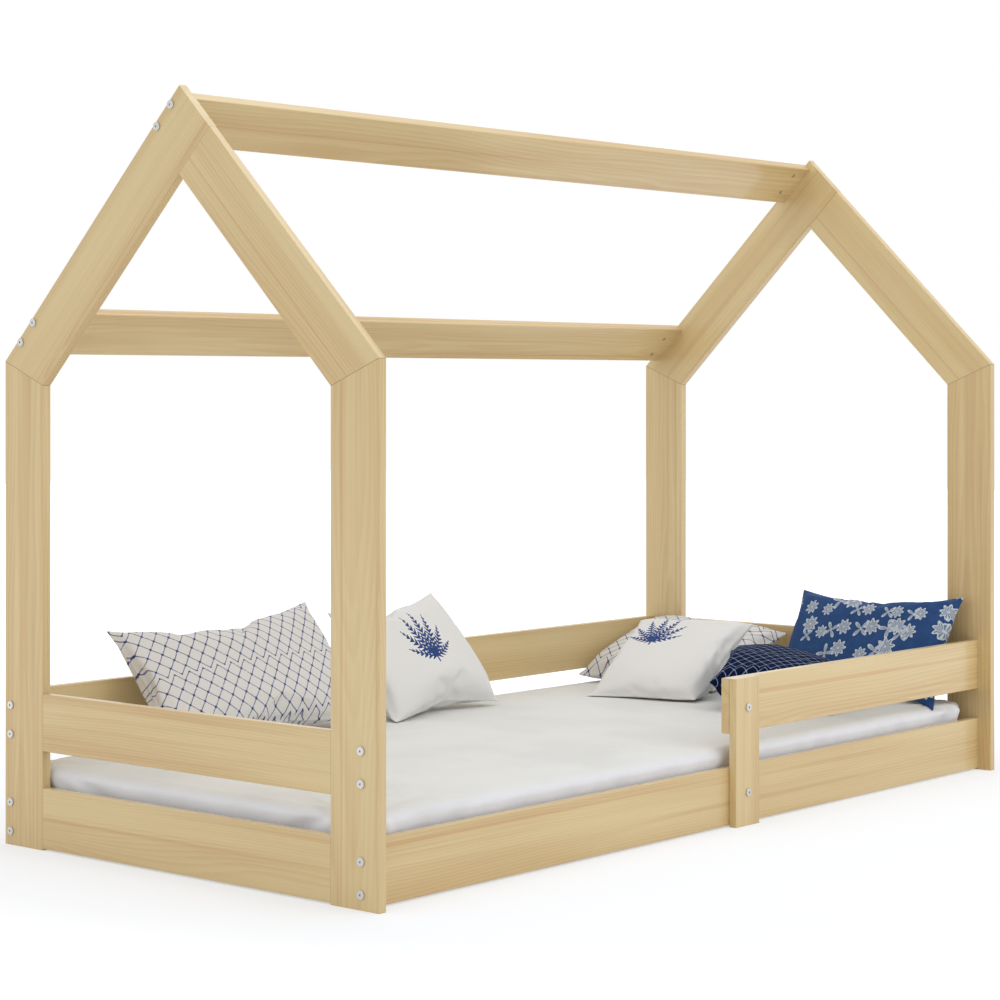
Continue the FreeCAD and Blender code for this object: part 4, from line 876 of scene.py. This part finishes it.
# Width, height and depth in millimetres, then the turns in degrees (about the upright, tilted up,
# rolled), as the solids lie.
PILLOWS = {
    "lattice_pillow_left": ((550, 306, 100), (2.5, 49.5, -3.5)),
    "sprig_pillow_left": ((370, 296, 100), (9.0, 51.0, -4.5)),
    "leaf_pillow_right": ((450, 268, 80), (-90.0, 58.4, -2.0)),
    "sprig_pillow_right": ((298, 336, 76), (-78.2, 26.4, -0.9)),
    "navy_pillow_right": ((281, 248, 110), (-66.1, 10.6, 10.1)),
    "lattice_pillow_right": ((409, 326, 94), (-91.2, 19.2, 1.8)),
}
BLUE_LATTICE = lattice_ground(srgb(218, 215, 211), srgb(48, 66, 122), 0.0250, 0.0019)
SPRIG_COLOURS = (srgb(228, 227, 225), srgb(32, 62, 122))
PILLOW_GROUNDS = {
    "lattice_pillow_left": BLUE_LATTICE,
    "sprig_pillow_left": sprig_ground(*SPRIG_COLOURS, (0.01, 0.015), 0.135),
    "leaf_pillow_right": leaf_ground(srgb(30, 66, 116), srgb(198, 206, 212), srgb(46, 84, 138)),
    "sprig_pillow_right": sprig_ground(*SPRIG_COLOURS, (-0.050, 0.066), 0.125),
    "navy_pillow_right": lattice_ground(srgb(5, 17, 46), srgb(140, 160, 202), 0.0180, 0.0012),
    "lattice_pillow_right": BLUE_LATTICE,
}
PILLOW_SLOTS = {
    "lattice_pillow_left": "lattice_cotton",
    "sprig_pillow_left": "sprig_cotton",
    "leaf_pillow_right": "leaf_cotton",
    "sprig_pillow_right": "sprig_cotton",
    "navy_pillow_right": "navy_cotton",
    "lattice_pillow_right": "lattice_cotton",
}
SEAM_STEP = 0.008
PANEL_SWELL = 0.010
CUT_WIDER = 1.05  # the flat panels' size over the stuffed one, since stuffing draws them in
CUT_HIGHER = 1.07
COVER_DEPTH = 0.98
STUFFING_FRAMES = 22


def pillow_rotation(name):
    """The pillow's turn as a matrix: about Z, then its own X, then its own Y."""
    spin, tilt, roll = (math.radians(angle) for angle in PILLOWS[name][1])
    about_z = np.array([[math.cos(spin), -math.sin(spin), 0], [math.sin(spin), math.cos(spin), 0], [0, 0, 1]])
    about_x = np.array([[1, 0, 0], [0, math.cos(tilt), -math.sin(tilt)], [0, math.sin(tilt), math.cos(tilt)]])
    about_y = np.array([[math.cos(roll), 0, math.sin(roll)], [0, 1, 0], [-math.sin(roll), 0, math.cos(roll)]])
    return about_z @ about_x @ about_y


def mesh_points(mesh):
    """The vertices of a mesh as an array."""
    flat = np.empty(len(mesh.vertices) * 3)
    mesh.vertices.foreach_get("co", flat)
    return flat.reshape(-1, 3)


def pillow_centre(name, turn):
    """The pillow's middle: the middle of its solid's reach along its own three directions."""
    local = mesh_points(NODES[name].data) @ turn
    return turn @ ((local.min(axis=0) + local.max(axis=0)) / 2)


def flat_panels(width, height):
    """Two rectangular panels that share their rim, a little apart: a cover before it is stuffed.

    The grid is even, and the gap between the panels grows from the rim to the middle as the root
    of the product of two half waves.
    """
    columns = int(round(width / SEAM_STEP)) + 1
    rows = int(round(height / SEAM_STEP)) + 1
    u, v = np.meshgrid(np.linspace(-1, 1, columns), np.linspace(-1, 1, rows))
    swell = PANEL_SWELL * np.cos(u * math.pi / 2) ** 0.5 * np.cos(v * math.pi / 2) ** 0.5
    front = np.stack([u * width / 2, v * height / 2, swell], axis=-1).reshape(-1, 3)
    index = np.arange(rows * columns).reshape(rows, columns)
    inner = np.zeros((rows, columns), bool)
    inner[1:-1, 1:-1] = True
    behind = index.copy()
    behind[inner] = rows * columns + np.arange(inner.sum())
    back = front.reshape(rows, columns, 3)[inner] * np.array([1, 1, -1])
    quads = []
    for grid, order in ((index, (0, 1, 2, 3)), (behind, (3, 2, 1, 0))):
        corners = [grid[:-1, :-1], grid[:-1, 1:], grid[1:, 1:], grid[1:, :-1]]
        quads += np.stack([corners[i] for i in order], axis=-1).reshape(-1, 4).tolist()
    return np.vstack([front, back]), quads


def stuff(piece):
    """Blow the cover up with cloth simulation, without gravity, and return its points."""
    scene = bpy.context.scene
    scene.frame_start, scene.frame_end = 1, STUFFING_FRAMES
    cloth_modifier = piece.modifiers.new("cloth", "CLOTH")
    settings = cloth_modifier.settings
    settings.quality = 6
    settings.mass = 0.15
    settings.use_pressure = True
    settings.uniform_pressure_force = 4.0
    settings.effector_weights.gravity = 0.0
    settings.tension_stiffness = settings.compression_stiffness = 25.0
    settings.shear_stiffness = 12.0
    settings.bending_stiffness = 0.6
    settings.air_damping = 4.0
    cloth_modifier.collision_settings.use_collision = False
    cloth_modifier.point_cache.frame_start = 1
    cloth_modifier.point_cache.frame_end = STUFFING_FRAMES
    for number in range(1, STUFFING_FRAMES + 1):
        scene.frame_set(number)
    graph = bpy.context.evaluated_depsgraph_get()
    blown = bpy.data.meshes.new_from_object(piece.evaluated_get(graph))
    formed = mesh_points(blown)
    bpy.data.meshes.remove(blown)
    piece.modifiers.remove(cloth_modifier)
    scene.frame_set(1)
    return formed


def fit_to(points, size):
    """Stretch a form about its middle so that it reaches exactly the given width, height and depth."""
    low, high = points.min(axis=0), points.max(axis=0)
    return (points - (low + high) / 2) * (np.array(size) / (high - low))


SEAM_HOLD = 0.35  # the share of its waves that the stiff seam keeps
SEAM_BAND = 0.030
RIM = 0.999  # past this share from the middle a point is on the seam
MID_SIDE = 0.3
FULLNESS = {"sprig_pillow_right": 0.66}
USUAL_FULLNESS = 0.84
# How much wider a cover is than its solid, and how far it is shifted along its width.
COVER_REACH = {"lattice_pillow_left": (0.014, -0.007), "sprig_pillow_left": (0.014, 0.007)}


def plump(formed, flat, fullness):
    """Calm the seam and fill the body.

    Near the seam the simulated form gives way to an even one: no depth, and each side drawn in
    along a square law by as much as the simulation draws it in at mid side. The depth then goes by
    a power below one of itself.
    """
    half = np.abs(flat[:, :2]).max(axis=0)
    share = flat[:, :2] / half
    from_seam = (half - np.abs(flat[:, :2])).min(axis=1)
    keep = SEAM_HOLD + (1 - SEAM_HOLD) * smoothstep(0.0, SEAM_BAND, from_seam)
    full = formed.copy()
    for axis in (0, 1):
        along = np.abs(share[:, 1 - axis])
        edge = np.abs(share[:, axis]) > RIM
        corner = np.abs(formed[edge & (along > RIM), axis]).mean()
        drawn = 1 - np.abs(formed[edge & (along < MID_SIDE), axis]).mean() / corner
        even = share[:, axis] * corner * (1 - drawn * (1 - along ** 2))
        full[:, axis] = even + keep * (formed[:, axis] - even)
    depth = formed[:, 2] * keep
    deepest = np.abs(depth).max()
    full[:, 2] = np.sign(depth) * deepest * (np.abs(depth) / deepest) ** fullness
    return full


def make_pillow(name):
    """A pillow: two panels sewn at the rim, stuffed, laid where its solid lies and pressed."""
    width, height, depth = (number * MM for number in PILLOWS[name][0])
    cut = (width * CUT_WIDER, height * CUT_HIGHER)
    points, faces = flat_panels(*cut)
    piece = mesh_piece(f"{name}_cover", points, faces)
    formed = stuff(piece)
    reach, shift = COVER_REACH.get(name, (0.0, 0.0))
    formed = plump(formed, points, FULLNESS.get(name, USUAL_FULLNESS))
    formed = fit_to(formed, (width + reach, height, depth * COVER_DEPTH))
    formed[:, 0] += shift
    turn = pillow_rotation(name)
    centre = pillow_centre(name, turn)
    laid = formed @ turn.T + centre
    if name in CORNER_BENDS:
        laid = bend_corner(laid, formed, width, height, turn, *CORNER_BENDS[name])
    laid = settle(laid)
    piece.data.vertices.foreach_set("co", laid.ravel())
    piece.data.update()
    smooth = piece.modifiers.new("smooth", "SUBSURF")
    smooth.levels = smooth.render_levels = 1
    place = (tuple(centre), mapping_angles(turn))
    sheen = DARK_SHEEN if name == "navy_pillow_right" else USUAL_SHEEN
    material = cloth(f"{PILLOW_SLOTS[name]}_{name}", PILLOW_GROUNDS[name], place, sheen=sheen)
    piece.data.materials.append(material)
    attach(piece, name)
    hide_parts(name)
    return piece


def mapping_angles(turn):
    """The turn's angles about X, Y and Z in the order that a Mapping node applies them."""
    return tuple(Matrix(turn.tolist()).to_euler("XYZ"))


# How the lower corner at the right moves: in the pillow's own plane and depth, then in height, and
# how far its reach goes. One corner hangs over the mattress' front edge, one is rounded.
CORNER_BENDS = {
    "leaf_pillow_right": ((0.0, 0.0, 0.0), -0.027, 0.075),
    "sprig_pillow_right": ((-0.022, 0.012, 0.0), 0.006, 0.110),
}


def bend_corner(points, local, width, height, turn, own, rise, reach):
    """Move one corner: the movement grows smoothly towards it."""
    away = np.hypot(local[:, 0] - width / 2, local[:, 1] + height / 2)
    share = smoothstep(reach, 0.0, away)[:, None]
    return points + share * (turn @ np.array(own) + np.array([0.0, 0.0, rise]))


RAIL_CLEARANCE = 0.0006
SAG_DROP = 0.006
SAG_REACH = (-0.02, 0.070)


def settle(points):
    """Press a pillow's cover against the mattress and the rails that it leans on.

    The underside sags: heights over the mattress shrink by a soft step that ends at the sag's
    reach. A point inside a rail goes up to its top or out to its face, whichever is nearer, and no
    point stays below the mattress' top.
    """
    moved = points.copy()
    moved[:, 2] -= SAG_DROP
    height = moved[:, 2] - mattress_top(moved[:, 0], moved[:, 1])
    over = (moved[:, 0] > MATTRESS_LOW[0]) & (moved[:, 0] < MATTRESS_HIGH[0])
    over &= moved[:, 1] > MATTRESS_LOW[1]
    pressed = np.where(over & (height > 0), height * smoothstep(*SAG_REACH, height), height)
    moved[:, 2] += pressed - height
    for rail, axis in (("back_upper_rail", 1), ("right_upper_end_rail", 0)):
        low, high = (np.array(corner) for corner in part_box(rail))
        face = low[axis] - RAIL_CLEARANCE
        top = high[2] + RAIL_CLEARANCE
        inside = (moved[:, axis] > face) & (moved[:, 2] < top)
        deep = moved[:, axis] - face
        under = top - moved[:, 2]
        lift = inside & (under < deep)
        push = inside & ~lift
        moved[lift, 2] = top
        moved[push, axis] = face
    floor = mattress_top(moved[:, 0], moved[:, 1]) + RAIL_CLEARANCE
    low = moved[:, 2] < floor
    on_top = (moved[:, 0] > MATTRESS_LOW[0]) & (moved[:, 0] < MATTRESS_HIGH[0])
    on_top &= (moved[:, 1] > MATTRESS_LOW[1]) & (moved[:, 1] < MATTRESS_HIGH[1])
    press = low & on_top
    moved[press, 2] = floor[press]
    return moved


# ---------------------------------------------------------------- the whole bed

bpy.context.scene.view_settings.view_transform = "Standard"
make_camera()
make_light()
make_floor()
dress_boards()
dress_fittings()
make_mattress()
for pillow_name in PILLOWS:
    make_pillow(pillow_name)
